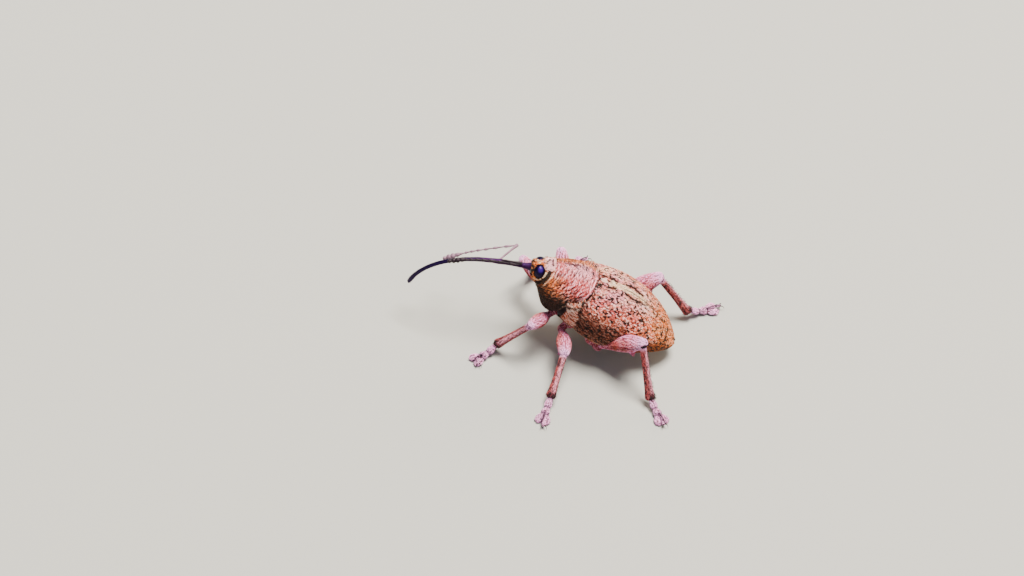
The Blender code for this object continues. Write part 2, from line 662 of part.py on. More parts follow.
def main():
    """Builds the weevil node by node."""
    for thing in list(bpy.data.objects):
        bpy.data.objects.remove(thing)
    weevil = bpy.data.collections.new("acorn_weevil")
    cutters = bpy.data.collections.new("cutters")
    bpy.context.scene.collection.children.link(weevil)
    bpy.context.scene.collection.children.link(cutters)
    frame = body_matrix()

    hind_cutter = make_hind_cutter("hind_cutter", frame, cutters)
    pronotum_cutter = make_pronotum("pronotum_cutter", frame, cutters, grow=GAP * 0.98)
    breast_cutter = make_middle_breast("breast_cutter", frame, cutters, grow=GAP)
    plate_cutter = make_scutellum("plate_cutter", frame, cutters, grow=GAP)
    eye_cutters = [make_eye(f"eye_cutter_{side}", side, cutters, grow=GAP) for side in (1, -1)]
    head_cutter = make_head("head_cutter", cutters, grow=GAP)
    snout_cutter = make_snout("snout_cutter", cutters, grow=GAP)
    floor_cutter = box("floor_cutter", FLOOR_BLOCK, cutters)
    for cutter in cutters.objects:
        cutter.hide_render = True
        cutter.display_type = "WIRE"

    nodes = []
    finishes = []

    def add(name, pieces, cuts, finish):
        nodes.append(fused(name, pieces, cuts, weevil))
        finishes.append(finish)

    for side, word in ((1, "left"), (-1, "right")):
        add("elytron_" + word, [make_elytron("elytron", side, frame, weevil)], [plate_cutter], SCALES)
    add("underside", [make_underside("underside", frame, weevil), make_middle_breast("breast", frame, weevil)],
        [pronotum_cutter], DARK_BELLY)
    add("pronotum", [make_pronotum("pronotum", frame, weevil)], [plate_cutter], SCALES)
    add("scutellum", [make_scutellum("scutellum", frame, weevil)], [], CREAM)
    add("head", [make_head("head", weevil)], [pronotum_cutter, *eye_cutters], SCALES)
    for side, word in ((1, "left"), (-1, "right")):
        add("eye_" + word, [make_eye("eye", side, weevil)], [], BLACK)
    add("snout", [make_snout("snout", weevil)], [head_cutter], SNOUT_BROWN)
    for side, word in ((1, "left"), (-1, "right")):
        add("feeler_" + word, make_feeler("feeler_" + word, side, weevil), [snout_cutter, head_cutter],
            SNOUT_BROWN)
    for leg in LEG_POSES:
        kind, word = leg.split("_")
        side = 1 if word == "left" else -1
        add("leg_" + leg, make_leg(leg, kind, side, frame, weevil),
            [hind_cutter, pronotum_cutter, breast_cutter, floor_cutter], LEG_PINK)
    for node, finish in zip(nodes, finishes):
        finish_node(node, finish)
    stand_on_origin(nodes)


main()
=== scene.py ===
"""Acorn weevil, a large female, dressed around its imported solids.

Sizes are in millimetres in the standing frame, which has +Z up, the floor at z = 0, the head toward
-Y, the animal's left side toward +X and the scutellum over y = 0. Finished meshes are moved to the
frame of the solids and scaled to metres. The shell of each part lies inside its solid by the depth
of its coat. The coat is made of single scales, each a small closed blade that lies along the body.
"""

import itertools
import logging
import math
from dataclasses import dataclass, field
from enum import Enum
from typing import Callable, Sequence

import bpy
import numpy as np
from mathutils import Matrix, Vector


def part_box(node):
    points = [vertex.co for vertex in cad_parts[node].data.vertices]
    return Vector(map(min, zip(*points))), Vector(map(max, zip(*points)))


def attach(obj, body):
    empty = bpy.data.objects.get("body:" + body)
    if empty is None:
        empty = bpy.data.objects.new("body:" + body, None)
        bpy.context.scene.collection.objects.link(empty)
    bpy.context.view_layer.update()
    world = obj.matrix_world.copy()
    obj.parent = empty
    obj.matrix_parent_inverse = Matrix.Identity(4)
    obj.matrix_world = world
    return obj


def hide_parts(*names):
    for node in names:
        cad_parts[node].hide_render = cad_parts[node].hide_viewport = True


Array = np.ndarray
Shares = Sequence[tuple[float, float]]

MM = 0.001
SEED = 20
# The air between two shell plates, as the solids have it
GAP = 0.06
# The cells, in millimetres, by which a shell's points find the nearest mark
SEARCH_CELL = 0.12
LOG = logging.getLogger("weevil")


# Small tools

def to_linear(code: str) -> tuple[float, float, float, float]:
    """Turns an sRGB hex colour into linear red, green, blue and alpha.

    Args:
        code: Six hex digits, with or without a leading hash.

    Returns:
        The linear colour with alpha 1.
    """
    parts = [int(code.lstrip("#")[index:index + 2], 16) / 255 for index in (0, 2, 4)]
    red, green, blue = [part / 12.92 if part <= 0.04045 else ((part + 0.055) / 1.055) ** 2.4
                        for part in parts]
    return red, green, blue, 1.0


def add_node(tree: bpy.types.NodeTree, kind: str, settings: dict[str, object] | None = None,
             inputs: dict[str | int, object] | None = None) -> bpy.types.Node:
    """Adds a shader node with its settings, values and links.

    Args:
        tree: The material's node tree.
        kind: Blender's name for the node.
        settings: Properties to set on the node.
        inputs: Values or output sockets for the node's inputs.

    Returns:
        The new node.
    """
    node = tree.nodes.new(kind)
    for name, value in (settings or {}).items():
        setattr(node, name, value)
    for name, value in (inputs or {}).items():
        if isinstance(value, bpy.types.NodeSocket):
            tree.links.new(value, node.inputs[name])
        else:
            node.inputs[name].default_value = value
    return node


def start_material(name: str) -> tuple[bpy.types.Material, bpy.types.NodeTree, bpy.types.Node]:
    """Starts a material with nothing but its shader.

    Args:
        name: The material's name.

    Returns:
        The material, its node tree and its shader.
    """
    material = bpy.data.materials.new(name)
    material.use_nodes = True
    return material, material.node_tree, material.node_tree.nodes["Principled BSDF"]


def ramp_up(low: float | Array, high: float | Array, values: Array) -> Array:
    """A smooth step from 0 at low to 1 at high."""
    share = np.clip((np.asarray(values, float) - low) / (high - low), 0.0, 1.0)
    return share * share * (3 - 2 * share)


def ramp_down(low: float | Array, high: float | Array, values: Array) -> Array:
    """A smooth step from 1 at low to 0 at high."""
    return 1 - ramp_up(low, high, values)


def hump(centre: float, width: float, values: Array) -> Array:
    """A smooth hump of height 1 at a centre."""
    return np.exp(-((np.asarray(values, float) - centre) / width) ** 2)


def unit(vectors: Array) -> Array:
    """Vectors scaled to length 1, left alone where they have no length."""
    length = np.linalg.norm(vectors, axis=-1, keepdims=True)
    return vectors / np.where(length > 1e-12, length, 1.0)


def follow(table: Shares, shares: Array) -> Array:
    """Smooth values from a short table of (share, value) pairs, as the solids have them.

    Args:
        table: Pairs with rising shares.
        shares: Where to read the table.

    Returns:
        One value for each share.
    """
    knots, values = np.array(table, float).T
    shares = np.clip(np.asarray(shares, float), knots[0], knots[-1])
    index = np.clip(np.searchsorted(knots, shares, side="left") - 1, 0, len(knots) - 2)
    before, after = np.maximum(index - 1, 0), np.minimum(index + 2, len(knots) - 1)
    span = knots[index + 1] - knots[index]
    step = (shares - knots[index]) / span
    rise = (values[index + 1] - values[before]) / (knots[index + 1] - knots[before]) * span
    fall = (values[after] - values[index]) / (knots[after] - knots[index]) * span
    return ((2 * step**3 - 3 * step**2 + 1) * values[index] + (step**3 - 2 * step**2 + step) * rise
            + (3 * step**2 - 2 * step**3) * values[index + 1] + (step**3 - step**2) * fall)


def smooth_path(points: Sequence[Sequence[float]], steps: int) -> Array:
    """Points along a smooth curve through a few given ones.

    Args:
        points: The places that the curve passes.
        steps: Points for each stretch.

    Returns:
        The curve's points, one row each.
    """
    knots = np.array(points, float)
    path = []
    for index in range(len(knots) - 1):
        before, start = knots[max(index - 1, 0)], knots[index]
        end, after = knots[index + 1], knots[min(index + 2, len(knots) - 1)]
        for t in np.arange(steps) / steps:
            path.append(0.5 * (2 * start + (end - before) * t
                               + (2 * before - 5 * start + 4 * end - after) * t**2
                               + (3 * start - before - 3 * end + after) * t**3))
    return np.array(path + [knots[-1]])


class Mottle:
    """Smooth seeded noise in space, from 0 to 1."""

    size = 4096
    primes = (73856093, 19349663, 83492791)
    # Cells by which the animal is moved clear of the noise's origin
    offset = 40.0

    def __init__(self, seed: int) -> None:
        """Draws the noise's table of values."""
        self.table = np.random.default_rng(seed).random(self.size)

    def at(self, points: Array, cell: float) -> Array:
        """The noise at some points.

        Args:
            points: Places in millimetres, one row each.
            cell: The size of a blotch in millimetres.

        Returns:
            One value for each point.
        """
        scaled = np.asarray(points, float) / cell + self.offset
        corner = np.floor(scaled).astype(np.int64)
        inner = scaled - corner
        inner = inner * inner * (3 - 2 * inner)
        total = np.zeros(scaled.shape[:-1])
        for step in itertools.product((0, 1), repeat=3):
            spot = np.bitwise_xor.reduce((corner + step) * self.primes, axis=-1) & (self.size - 1)
            x, y, z = (inner[..., axis] if ahead else 1 - inner[..., axis] for axis, ahead in enumerate(step))
            total += self.table[spot] * (x * y * z)
        return total


MOTTLE = Mottle(SEED)


# Frames

@dataclass(frozen=True)
class Stance:
    """How the animal stands: the frames of its body and head within the standing frame."""

    pitch: float = math.radians(20.0)
    plate_height: float = 3.95
    plate_y: float = 0.15
    # The plate is 0.34 deep and lies 0.35 of that below the wing cases' top line
    plate_sink: float = 0.35 * 0.34
    head_turn: float = math.radians(6.5)
    head_centre: tuple[float, float, float] = (0.0, -2.95, 3.70)

    @property
    def plate_top(self) -> float:
        """The height of the wing cases' top line at the plate, in the body's frame."""
        share = (self.plate_y - HindBody.front) / HindBody.length
        return float(follow(HindBody.tops, np.array([share]))[0]) * HindBody.depth

    def body_points(self, points: Array) -> Array:
        """Moves points from the body's own frame to the standing frame.

        Args:
            points: Places in the body's frame.

        Returns:
            The same places in the standing frame.
        """
        turn = np.array(Matrix.Rotation(-self.pitch, 3, "X"))
        plate = turn @ np.array([0.0, self.plate_y, self.plate_top])
        return np.asarray(points, float) @ turn.T + (np.array([0.0, 0.0, self.plate_height]) - plate)

    def head_axes(self) -> Array:
        """The head's left, forward and up directions, one column each."""
        turn = Matrix.Rotation(self.head_turn, 3, "Z")
        return np.array([turn @ Vector((1, 0, 0)), turn @ Vector((0, -1, 0)), Vector((0, 0, 1))]).T

    def head_points(self, points: Array) -> Array:
        """Moves points from the head's frame, x left, y forward, z up, to the standing frame."""
        return np.asarray(points, float) @ self.head_axes().T + np.array(self.head_centre)

    def in_head(self, points: Array) -> Array:
        """Moves points from the standing frame to the head's frame."""
        return (np.asarray(points) - np.array(self.head_centre)) @ self.head_axes()

    def to_solids(self) -> Array:
        """The move from the standing frame to the frame of the solids, read from the scutellum's solid.

        Returns:
            The move in millimetres.
        """
        low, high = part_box("scutellum")
        centre = self.body_points([0.0, self.plate_y, self.plate_top - self.plate_sink])
        return np.array((low + high) / 2) / MM - centre


class HindBody:
    """The hind body's outline, the same named sizes as the solids have."""

    length = 4.90
    front = -0.12
    half_width = 1.92
    depth = 3.34
    half_widths: Shares = ((0.0, 0.80), (0.05, 0.91), (0.14, 0.97), (0.28, 1.0), (0.45, 0.965), (0.62, 0.87),
                           (0.78, 0.68), (0.90, 0.46), (0.97, 0.27), (1.0, 0.13))
    tops: Shares = ((0.0, 0.89), (0.08, 0.915), (0.25, 0.945), (0.38, 0.93), (0.55, 0.87), (0.72, 0.76),
                    (0.86, 0.62), (0.95, 0.50), (1.0, 0.43))
    bottoms: Shares = ((0.0, 0.03), (0.12, 0.0), (0.35, 0.0), (0.55, 0.07), (0.75, 0.20), (0.90, 0.30),
                       (1.0, 0.36))
    widest: Shares = ((0.0, 0.48), (0.3, 0.44), (0.6, 0.44), (0.8, 0.455), (1.0, 0.41))
    # How far forward two margins reach, and the heights between which they do
    pronotum_reach, pronotum_heights = 0.87, (1.35, 2.80)
    shoulder_reach, shoulder_heights = 0.42, (1.25, 2.20)
    # Powers below 1 make the section fuller than an ellipse, across and down
    fullness = (0.9, 0.95)
    least_inset = 0.12

    @classmethod
    def pronotum_lean(cls, height: Array) -> Array:
        """How far forward the pronotum's rear margin lies at a height in the body's frame."""
        return cls.pronotum_reach * ramp_down(*cls.pronotum_heights, height)

    @classmethod
    def shoulder_lean(cls, height: Array) -> Array:
        """How far forward the wing cases' front margin lies at a height in the body's frame."""
        shoulder = cls.shoulder_reach * ramp_up(*cls.shoulder_heights, height)
        return np.minimum(cls.pronotum_lean(height), shoulder)

    @classmethod
    def outline(cls, shares: Array, angles: Array, depth: float) -> Array:
        """Points of the left half's outline, drawn in by a depth.

        Args:
            shares: Shares of the length from the front.
            angles: Angles in radians, a right angle on top and minus that below.
            depth: How far inside the outline, in millimetres.

        Returns:
            Points in the body's frame, with the shape of the shares and angles.
        """
        shares, angles = np.broadcast_arrays(np.asarray(shares, float), np.asarray(angles, float))
        half = follow(cls.half_widths, shares) * cls.half_width
        middle = follow(cls.widest, shares) * cls.depth
        edge = np.where(angles > 0, follow(cls.tops, shares), follow(cls.bottoms, shares)) * cls.depth
        inner = np.maximum(1 - depth / half, cls.least_inset)
        across, down = cls.fullness
        x = half * np.maximum(np.cos(angles), 0.0) ** across * inner
        upward = np.where(angles > 0, 1, -1)
        z = middle + np.abs(edge - middle) * np.abs(np.sin(angles)) ** down * upward * inner
        return np.stack([x, cls.front + shares * cls.length, z], -1)


STANCE = Stance()
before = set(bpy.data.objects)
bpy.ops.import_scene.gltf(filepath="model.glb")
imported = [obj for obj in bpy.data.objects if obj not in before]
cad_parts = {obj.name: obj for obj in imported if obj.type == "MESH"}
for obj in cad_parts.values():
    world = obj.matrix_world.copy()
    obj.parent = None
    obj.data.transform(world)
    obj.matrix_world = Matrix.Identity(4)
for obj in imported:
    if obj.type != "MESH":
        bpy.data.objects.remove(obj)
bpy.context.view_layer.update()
SHIFT = STANCE.to_solids()


# Meshes

def deselect() -> None:
    """Clears the selection, so that an operator acts on new pieces only."""
    if bpy.context.object and bpy.context.object.mode != "OBJECT":
        bpy.ops.object.mode_set(mode="OBJECT")
    bpy.ops.object.select_all(action="DESELECT")


def only(thing: bpy.types.Object) -> None:
    """Selects one object and makes it the active one.

    Args:
        thing: The object.
    """
    deselect()
    thing.select_set(True)
    bpy.context.view_layer.objects.active = thing


def apply_modifier(thing: bpy.types.Object, kind: str, settings: dict[str, object]) -> None:
    """Adds a modifier with its settings and applies it.

    Args:
        thing: The object to change.
        kind: Blender's name for the modifier.
        settings: Properties to set on the modifier.
    """
    only(thing)
    modifier = thing.modifiers.new(kind.lower(), kind)
    for name, value in settings.items():
        setattr(modifier, name, value)
    bpy.ops.object.modifier_apply(modifier=modifier.name)


def join(name: str, things: Sequence[bpy.types.Object]) -> bpy.types.Object:
    """Joins objects into one piece.

    Args:
        name: The piece's name.
        things: The objects to join, the first of which stays.

    Returns:
        The joined piece.
    """
    deselect()
    for thing in things:
        thing.select_set(True)
    bpy.context.view_layer.objects.active = things[0]
    if len(things) > 1:
        bpy.ops.object.join()
    things[0].name = things[0].data.name = name
    return things[0]


def places_of(mesh: bpy.types.Mesh) -> Array:
    """The coordinates of a mesh's points, one row each.

    Args:
        mesh: The mesh.

    Returns:
        Its points in the mesh's own frame.
    """
    flat = np.zeros(len(mesh.vertices) * 3)
    mesh.vertices.foreach_get("co", flat)
    return flat.reshape(-1, 3)


def paint(mesh: bpy.types.Mesh, marks: Array) -> None:
    """Stores marks on a mesh, one row for each point."""
    layer = mesh.color_attributes.new("marks", "FLOAT_COLOR", "POINT")
    layer.data.foreach_set("color", marks.astype(np.float32).ravel())


def sheet(name: str, points: Array) -> bpy.types.Object:
    """A grid primitive laid on a surface, with seams and poles merged and faces turned outwards.

    Args:
        name: The object's name.
        points: Places in millimetres in the standing frame, by row, column and axis.

    Returns:
        The object, in metres in the frame of the solids.
    """
    rows, columns = points.shape[:2]
    deselect()
    bpy.ops.mesh.primitive_grid_add(x_subdivisions=columns - 1, y_subdivisions=rows - 1, size=2.0)
    thing = bpy.context.object
    thing.name = thing.data.name = name
    flat = places_of(thing.data)
    column = np.rint((flat[:, 0] + 1) / 2 * (columns - 1)).astype(int)
    row = np.rint((flat[:, 1] + 1) / 2 * (rows - 1)).astype(int)
    placed = (points[row, column] + SHIFT) * MM
    thing.data.vertices.foreach_set("co", placed.ravel())
    thing.data.update()
    tidy(thing)
    return thing


def tidy(thing: bpy.types.Object, distance: float = 2e-7) -> None:
    """Merges doubles, turns faces outwards and shades smooth.

    Args:
        thing: The object to tidy.
        distance: Points closer than this, in metres, become one.
    """
    only(thing)
    bpy.ops.object.mode_set(mode="EDIT")
    bpy.ops.mesh.select_all(action="SELECT")
    bpy.ops.mesh.remove_doubles(threshold=distance)
    bpy.ops.mesh.normals_make_consistent(inside=False)
    bpy.ops.object.mode_set(mode="OBJECT")
    bpy.ops.object.shade_smooth_by_angle(angle=math.radians(50))


def tube(path: Array, radii: Array, sides: int, flat: float = 1.0,
         up: Sequence[float] = (0, 0, 1)) -> Array:
    """The grid of a round limb with rounded ends.

    Args:
        path: The middle line, one point a row.
        radii: A radius at each point.
        sides: Columns round the limb.
        flat: Depth as a share of width.
        up: The direction that the depth is measured along, as near as the path lets it.

    Returns:
        Points by row, column and axis, with the last column on the first and both ends drawn to a point.
    """
    path, radii = np.asarray(path, float), np.asarray(radii, float)
    ahead = unit(np.gradient(path, axis=0))
    side = unit(np.cross(ahead, np.array(up, float)))
    over = np.cross(side, ahead)
    angles = np.linspace(0, 2 * np.pi, sides + 1)
    across = radii[:, None] * np.cos(angles)[None]
    depth = radii[:, None] * np.sin(angles)[None] * flat
    body = path[:, None] + side[:, None] * across[..., None] + over[:, None] * depth[..., None]
    caps = []
    for end, way in ((0, -1.0), (-1, 1.0)):
        rings = []
        for turn in np.radians([35.0, 65.0, 90.0]):
            centre = path[end] + ahead[end] * way * radii[end] * 0.6 * math.sin(turn)
            rings.append(centre + (body[end] - path[end]) * math.cos(turn))
        caps.append(rings)
    return np.concatenate([np.array(caps[0][::-1]), body, np.array(caps[1])])


def ball(centre: Sequence[float], axes: Array, radii: Sequence[float], rows: int = 24,
         columns: int = 32) -> Array:
    """The grid of an ellipsoid.

    Args:
        centre: Its middle.
        axes: Three directions, one column each; the poles lie on the last.
        radii: Half sizes along the three directions.
        rows: Rows from pole to pole.
        columns: Columns round it.

    Returns:
        Points by row, column and axis.
    """
    down = np.linspace(0, np.pi, rows)[:, None]
    around = np.linspace(0, 2 * np.pi, columns + 1)[None]
    local = np.stack([np.sin(down) * np.cos(around) * radii[0], np.sin(down) * np.sin(around) * radii[1],
                      np.cos(down) * radii[2] + 0 * around], -1)
    return np.asarray(centre, float) + local @ np.asarray(axes, float).T


def axes_from(ahead: Sequence[float], up: Sequence[float] = (0, 0, 1)) -> Array:
    """Directions to the right, ahead and up from a heading, one column each.

    Args:
        ahead: The heading.
        up: The direction that counts as up.

    Returns:
        The directions as a matrix.
    """
    ahead = unit(np.array(ahead, float))
    right = unit(np.cross(ahead, np.array(up, float)))
    return np.stack([right, ahead, np.cross(right, ahead)], -1)


# Coats of scales

class Side(Enum):
    """The animal's two sides, as signs of the axis to its left."""

    LEFT = 1
    RIGHT = -1

    @property
    def word(self) -> str:
        """The side's name in the names of pieces."""
        return self.name.lower()


def bake_tile(index: int, across: int) -> tuple[float, float, float, float]:
    """One square of a bake map that is cut into squares, as its low and high corners."""
    row, column = divmod(index, across)
    return column / across, row / across, (column + 1) / across, (row + 1) / across


@dataclass(frozen=True)
class Spots:
    """Places on a patch: their shares of its rows and columns, and where they lie in the standing frame."""

    patch: "Patch"
    share: Array
    around: Array
    places: Array

    def mottle(self, cell: float) -> Array:
        """Blotches of a size in millimetres, from 0 to 1."""
        return MOTTLE.at(self.places, cell)

    def streaks(self, cell: float, reach: float) -> Array:
        """Streaks of a width and half length in millimetres, from 0 to 1."""
        return self.patch.streaks(self.share, self.around, cell, reach)

    def breaks(self, length: float, cell: float) -> Array:
        """Noise that changes only along the rows, which have a length, for lines that are broken up."""
        return MOTTLE.at(self.share[:, None] * (length, 0.0, 0.0), cell)


@dataclass
class Patch:
    """A stretch of shell that scales grow on, with the marks that shell and scales share.

    The grid's rows run from front to rear. The turn swings the way that the scales lie, in radians
    from the rows' direction. The tile is the patch's own square of the coat's bake map.
    """

    points: Array
    marks: Callable[[Spots], Array]
    wraps: bool = True
    tile: tuple[float, float, float, float] = (0.0, 0.0, 1.0, 1.0)
    turn: Callable[[Array, Array], Array] | None = None
    normals: Array = field(init=False)
    along: Array = field(init=False)
    # Steps along a square's two sides that fill it evenly, from the plastic number
    even_steps = (0.7548776662466927, 0.5698402909980532)

    def __post_init__(self) -> None:
        """Works out the grid's normals and the direction of its rows."""
        along = np.gradient(self.points, axis=0)
        if self.wraps:
            ring = self.points[:, :-1]
            across = np.roll(ring, -1, 1) - np.roll(ring, 1, 1)
            across = np.concatenate([across, across[:, :1]], 1)
        else:
            across = np.gradient(self.points, axis=1)
        normals = unit(np.cross(along, across))
        middle = self.points.mean(1, keepdims=True)
        if ((self.points - middle) * normals).sum() < 0:
            normals = -normals
        self.normals, self.along = normals, unit(along)

    def area(self) -> float:
        """The patch's area in square millimetres."""
        return float(self.cell_areas().sum())

    def cell_areas(self) -> Array:
        """The area of each grid cell."""
        corner = self.points[:-1, :-1]
        return np.linalg.norm(np.cross(self.points[1:, :-1] - corner, self.points[:-1, 1:] - corner), axis=-1)

    def roots(self, count: int, rng: np.random.Generator) -> tuple[Array, Array]:
        """Spreads places evenly over the patch.

        Args:
            count: How many places.
            rng: The source of the small shifts between them.

        Returns:
            Row and column numbers, with fractions.
        """
        areas = self.cell_areas() + 1e-12
        rows, columns = areas.shape
        step = np.arange(count)
        first, second = ((0.5 + even * step) % 1.0 for even in self.even_steps)
        by_row = np.concatenate([[0.0], np.cumsum(areas.sum(1))])
        row = np.interp(first * by_row[-1], by_row, np.arange(rows + 1))
        whole = np.minimum(row.astype(int), rows - 1)
        by_column = np.concatenate([np.zeros((rows, 1)), np.cumsum(areas, 1)], 1)
        by_column = by_column / by_column[:, -1:] * 0.999999 + np.arange(rows)[:, None]
        column = np.interp(whole + second * 0.999999, by_column.ravel(), np.arange(by_column.size))
        column = column - whole * (columns + 1) + rng.normal(0, 0.25, count)
        row = row + rng.normal(0, 0.25, count)
        column = column % columns if self.wraps else np.clip(column, 0, columns - 1e-6)
        return np.clip(row, 0, rows - 1e-6), column

    def read(self, values: Array, row: Array, column: Array) -> Array:
        """Reads a grid of vectors between its points.

        Args:
            values: One vector for each grid point.
            row: Row numbers, with fractions.
            column: Column numbers, with fractions.

        Returns:
            One vector for each place.
        """
        i, j = row.astype(int), column.astype(int)
        f, g = (row - i)[:, None], (column - j)[:, None]
        return ((values[i, j] * (1 - g) + values[i, j + 1] * g) * (1 - f)
                + (values[i + 1, j] * (1 - g) + values[i + 1, j + 1] * g) * f)

    def shares(self, row: Array, column: Array) -> tuple[Array, Array]:
        """Row and column numbers as shares of the patch."""
        return row / (self.points.shape[0] - 1), column / (self.points.shape[1] - 1)

    def lie(self, row: Array, column: Array) -> tuple[Array, Array]:
        """The way that scales lie at some places, and the shell's normals there.

        Args:
            row: Row numbers, with fractions.
            column: Column numbers, with fractions.

        Returns:
            Two unit vectors for each place.
        """
        normal = unit(self.read(self.normals, row, column))
        ahead = self.read(self.along, row, column)
        ahead = unit(ahead - normal * (ahead * normal).sum(-1, keepdims=True))
        if self.turn:
            turn = self.turn(*self.shares(row, column))[:, None]
            ahead = ahead * np.cos(turn) + np.cross(normal, ahead) * np.sin(turn)
        return ahead, normal

    def streaks(self, share: Array, around: Array, cell: float, reach: float) -> Array:
        """Noise drawn out along the scales, as dark gaps between wisps of them.

        Args:
            share: Shares of the patch's rows.
            around: Shares of its columns.
            cell: The width of a streak in millimetres.
            reach: Half its length in millimetres.

        Returns:
            One value from 0 to 1 for each place.
        """
        row = np.clip(share * (self.points.shape[0] - 1), 0, self.points.shape[0] - 1.001)
        column = np.clip(around * (self.points.shape[1] - 1), 0, self.points.shape[1] - 1.001)
        root = self.read(self.points, row, column)
        heading, normal = self.lie(row, column)
        aside = np.cross(normal, heading)

        def mean_over(way: Array, steps: Array) -> Array:
            """The noise, averaged over some steps in a direction."""
            return sum(MOTTLE.at(root + way * step, cell) for step in steps) / len(steps)

        along = mean_over(heading, np.linspace(-reach, reach, 7))
        beside = mean_over(aside, cell * np.array([-2.2, -1.2, 1.2, 2.2]))
        return np.clip(0.5 + (along - 0.5 - 0.7 * (beside - 0.5)) * (1.1 + 0.8 * reach / cell), 0.0, 1.0)


@dataclass
class Growth:
    """How scales grow on a patch. Sizes in millimetres and angles in radians."""

    patch: Patch
    spacing: float
    length: float
    width: float
    lift: float = 0.012
    sway: float = 0.16
    keep: Callable[[Spots], Array] | None = None
    marks: Callable[[Spots], Array] | None = None


class Coat:
    """One piece of coat: many scales, each a small closed blade of twelve triangles."""

    # Corners of a blade: share of the length, of the half width and of the thickness, and the lift there
    corners = np.array([(0.0, 0.0, 0.0, -0.3),
                        (0.30, -1.0, 0.0, 0.9), (0.30, 0.0, 1.0, 0.9), (0.30, 1.0, 0.0, 0.9),
                        (0.72, -0.8, 0.0, 1.4), (0.72, 0.0, 1.0, 1.4), (0.72, 0.8, 0.0, 1.4),
                        (1.0, 0.0, 0.0, 1.1)])
    faces = np.array([(0, 1, 2), (0, 2, 3), (0, 3, 1), (1, 4, 5), (1, 5, 2), (2, 5, 6), (2, 6, 3), (3, 6, 4),
                      (3, 4, 1), (4, 7, 5), (5, 7, 6), (6, 7, 4)])
    patch_size = 0.003
    thickness = 0.010
    # No scale reaches lower than this over the floor
    least_height = 0.002

    def __init__(self, name: str, growths: Sequence[Growth], seed: int) -> None:
        """Stores what grows and where.

        Args:
            name: The piece's name.
            growths: The patches and how scales grow on each.
            seed: The seed for this coat's draws.
        """
        self.name, self.growths = name, growths
        self.rng = np.random.default_rng(seed)

    def build(self) -> bpy.types.Object:
        """Makes the coat's mesh with its bake map and marks.

        Returns:
            The coat as one object in the frame of the solids.
        """
        grown = zip(*(self.grow(growth) for growth in self.growths))
        corners, uvs, tints = (np.concatenate(values) for values in grown)
        count = len(corners)
        faces = (np.arange(count)[:, None, None] * 8 + self.faces[None]).reshape(-1, 3)
        mesh = bpy.data.meshes.new(self.name)
        mesh.vertices.add(count * 8)
        mesh.vertices.foreach_set("co", ((corners + SHIFT) * MM).astype(np.float32).ravel())
        mesh.loops.add(len(faces) * 3)
        mesh.loops.foreach_set("vertex_index", faces.astype(np.int32).ravel())
        mesh.polygons.add(len(faces))
        mesh.polygons.foreach_set("loop_start", np.arange(0, len(faces) * 3, 3, dtype=np.int32))
        mesh.polygons.foreach_set("use_smooth", np.ones(len(faces), bool))
        layer = mesh.uv_layers.new(name="OFBake")
        layer.data.foreach_set("uv", uvs.reshape(-1, 2)[faces.ravel()].astype(np.float32).ravel())
        paint(mesh, np.repeat(tints, 8, 0))
        mesh.update()
        mesh.validate()
        thing = bpy.data.objects.new(self.name, mesh)
        bpy.context.scene.collection.objects.link(thing)
        LOG.info("%s: %d scales, %d triangles", self.name, count, len(faces))
        return thing

    def grow(self, growth: Growth) -> tuple[Array, Array, Array]:
        """Places and shapes the scales of one patch.

        Args:
            growth: The patch and how scales grow on it.

        Returns:
            Corners of each scale, their places on the bake map, and each scale's marks.
        """
        patch, rng = growth.patch, self.rng
        count = int(patch.area() / growth.spacing**2)
        row, column = patch.roots(count, rng)
        share, around = patch.shares(row, column)
        root = patch.read(patch.points, row, column)
        spots = Spots(patch, share, around, root)
        stay = rng.random(count) < (growth.keep(spots) if growth.keep else 1.0)
        row, column, share, around, root = (values[stay] for values in (row, column, share, around, root))
        count = len(row)
        ahead, normal = patch.lie(row, column)
        aside = np.cross(normal, ahead)
        turn = rng.normal(0, growth.sway, count)[:, None]
        heading = ahead * np.cos(turn) + aside * np.sin(turn)
        across = np.cross(normal, heading)
        length = growth.length * rng.uniform(0.75, 1.2, count)
        width = growth.width * rng.uniform(0.8, 1.2, count)
        lift = growth.lift * rng.uniform(0.5, 1.6, count)
        tilt = rng.normal(0, 0.25, count)[:, None]
        s, w, t, h = self.corners.T
        corners = (root[:, None] + heading[:, None] * (length[:, None] * s)[..., None]
                   + across[:, None] * (width[:, None] / 2 * w)[..., None]
                   + normal[:, None] * (self.thickness * t + lift[:, None] * h
                                        + tilt * width[:, None] / 2 * w)[..., None])
        corners[..., 2] = np.maximum(corners[..., 2], self.least_height)
        low, high = np.array(patch.tile[:2]), np.array(patch.tile[2:])
        base = low + (high - low) * np.stack([around, share], -1)
        spread = np.stack([w * 0.5, s - 0.5], -1) * self.patch_size
        uvs = np.clip(base[:, None] + spread[None], low, high)
        marks = (growth.marks or patch.marks)(Spots(patch, share, around, root))
        marks[:, 3] = rng.random(count)
        return corners, uvs, marks


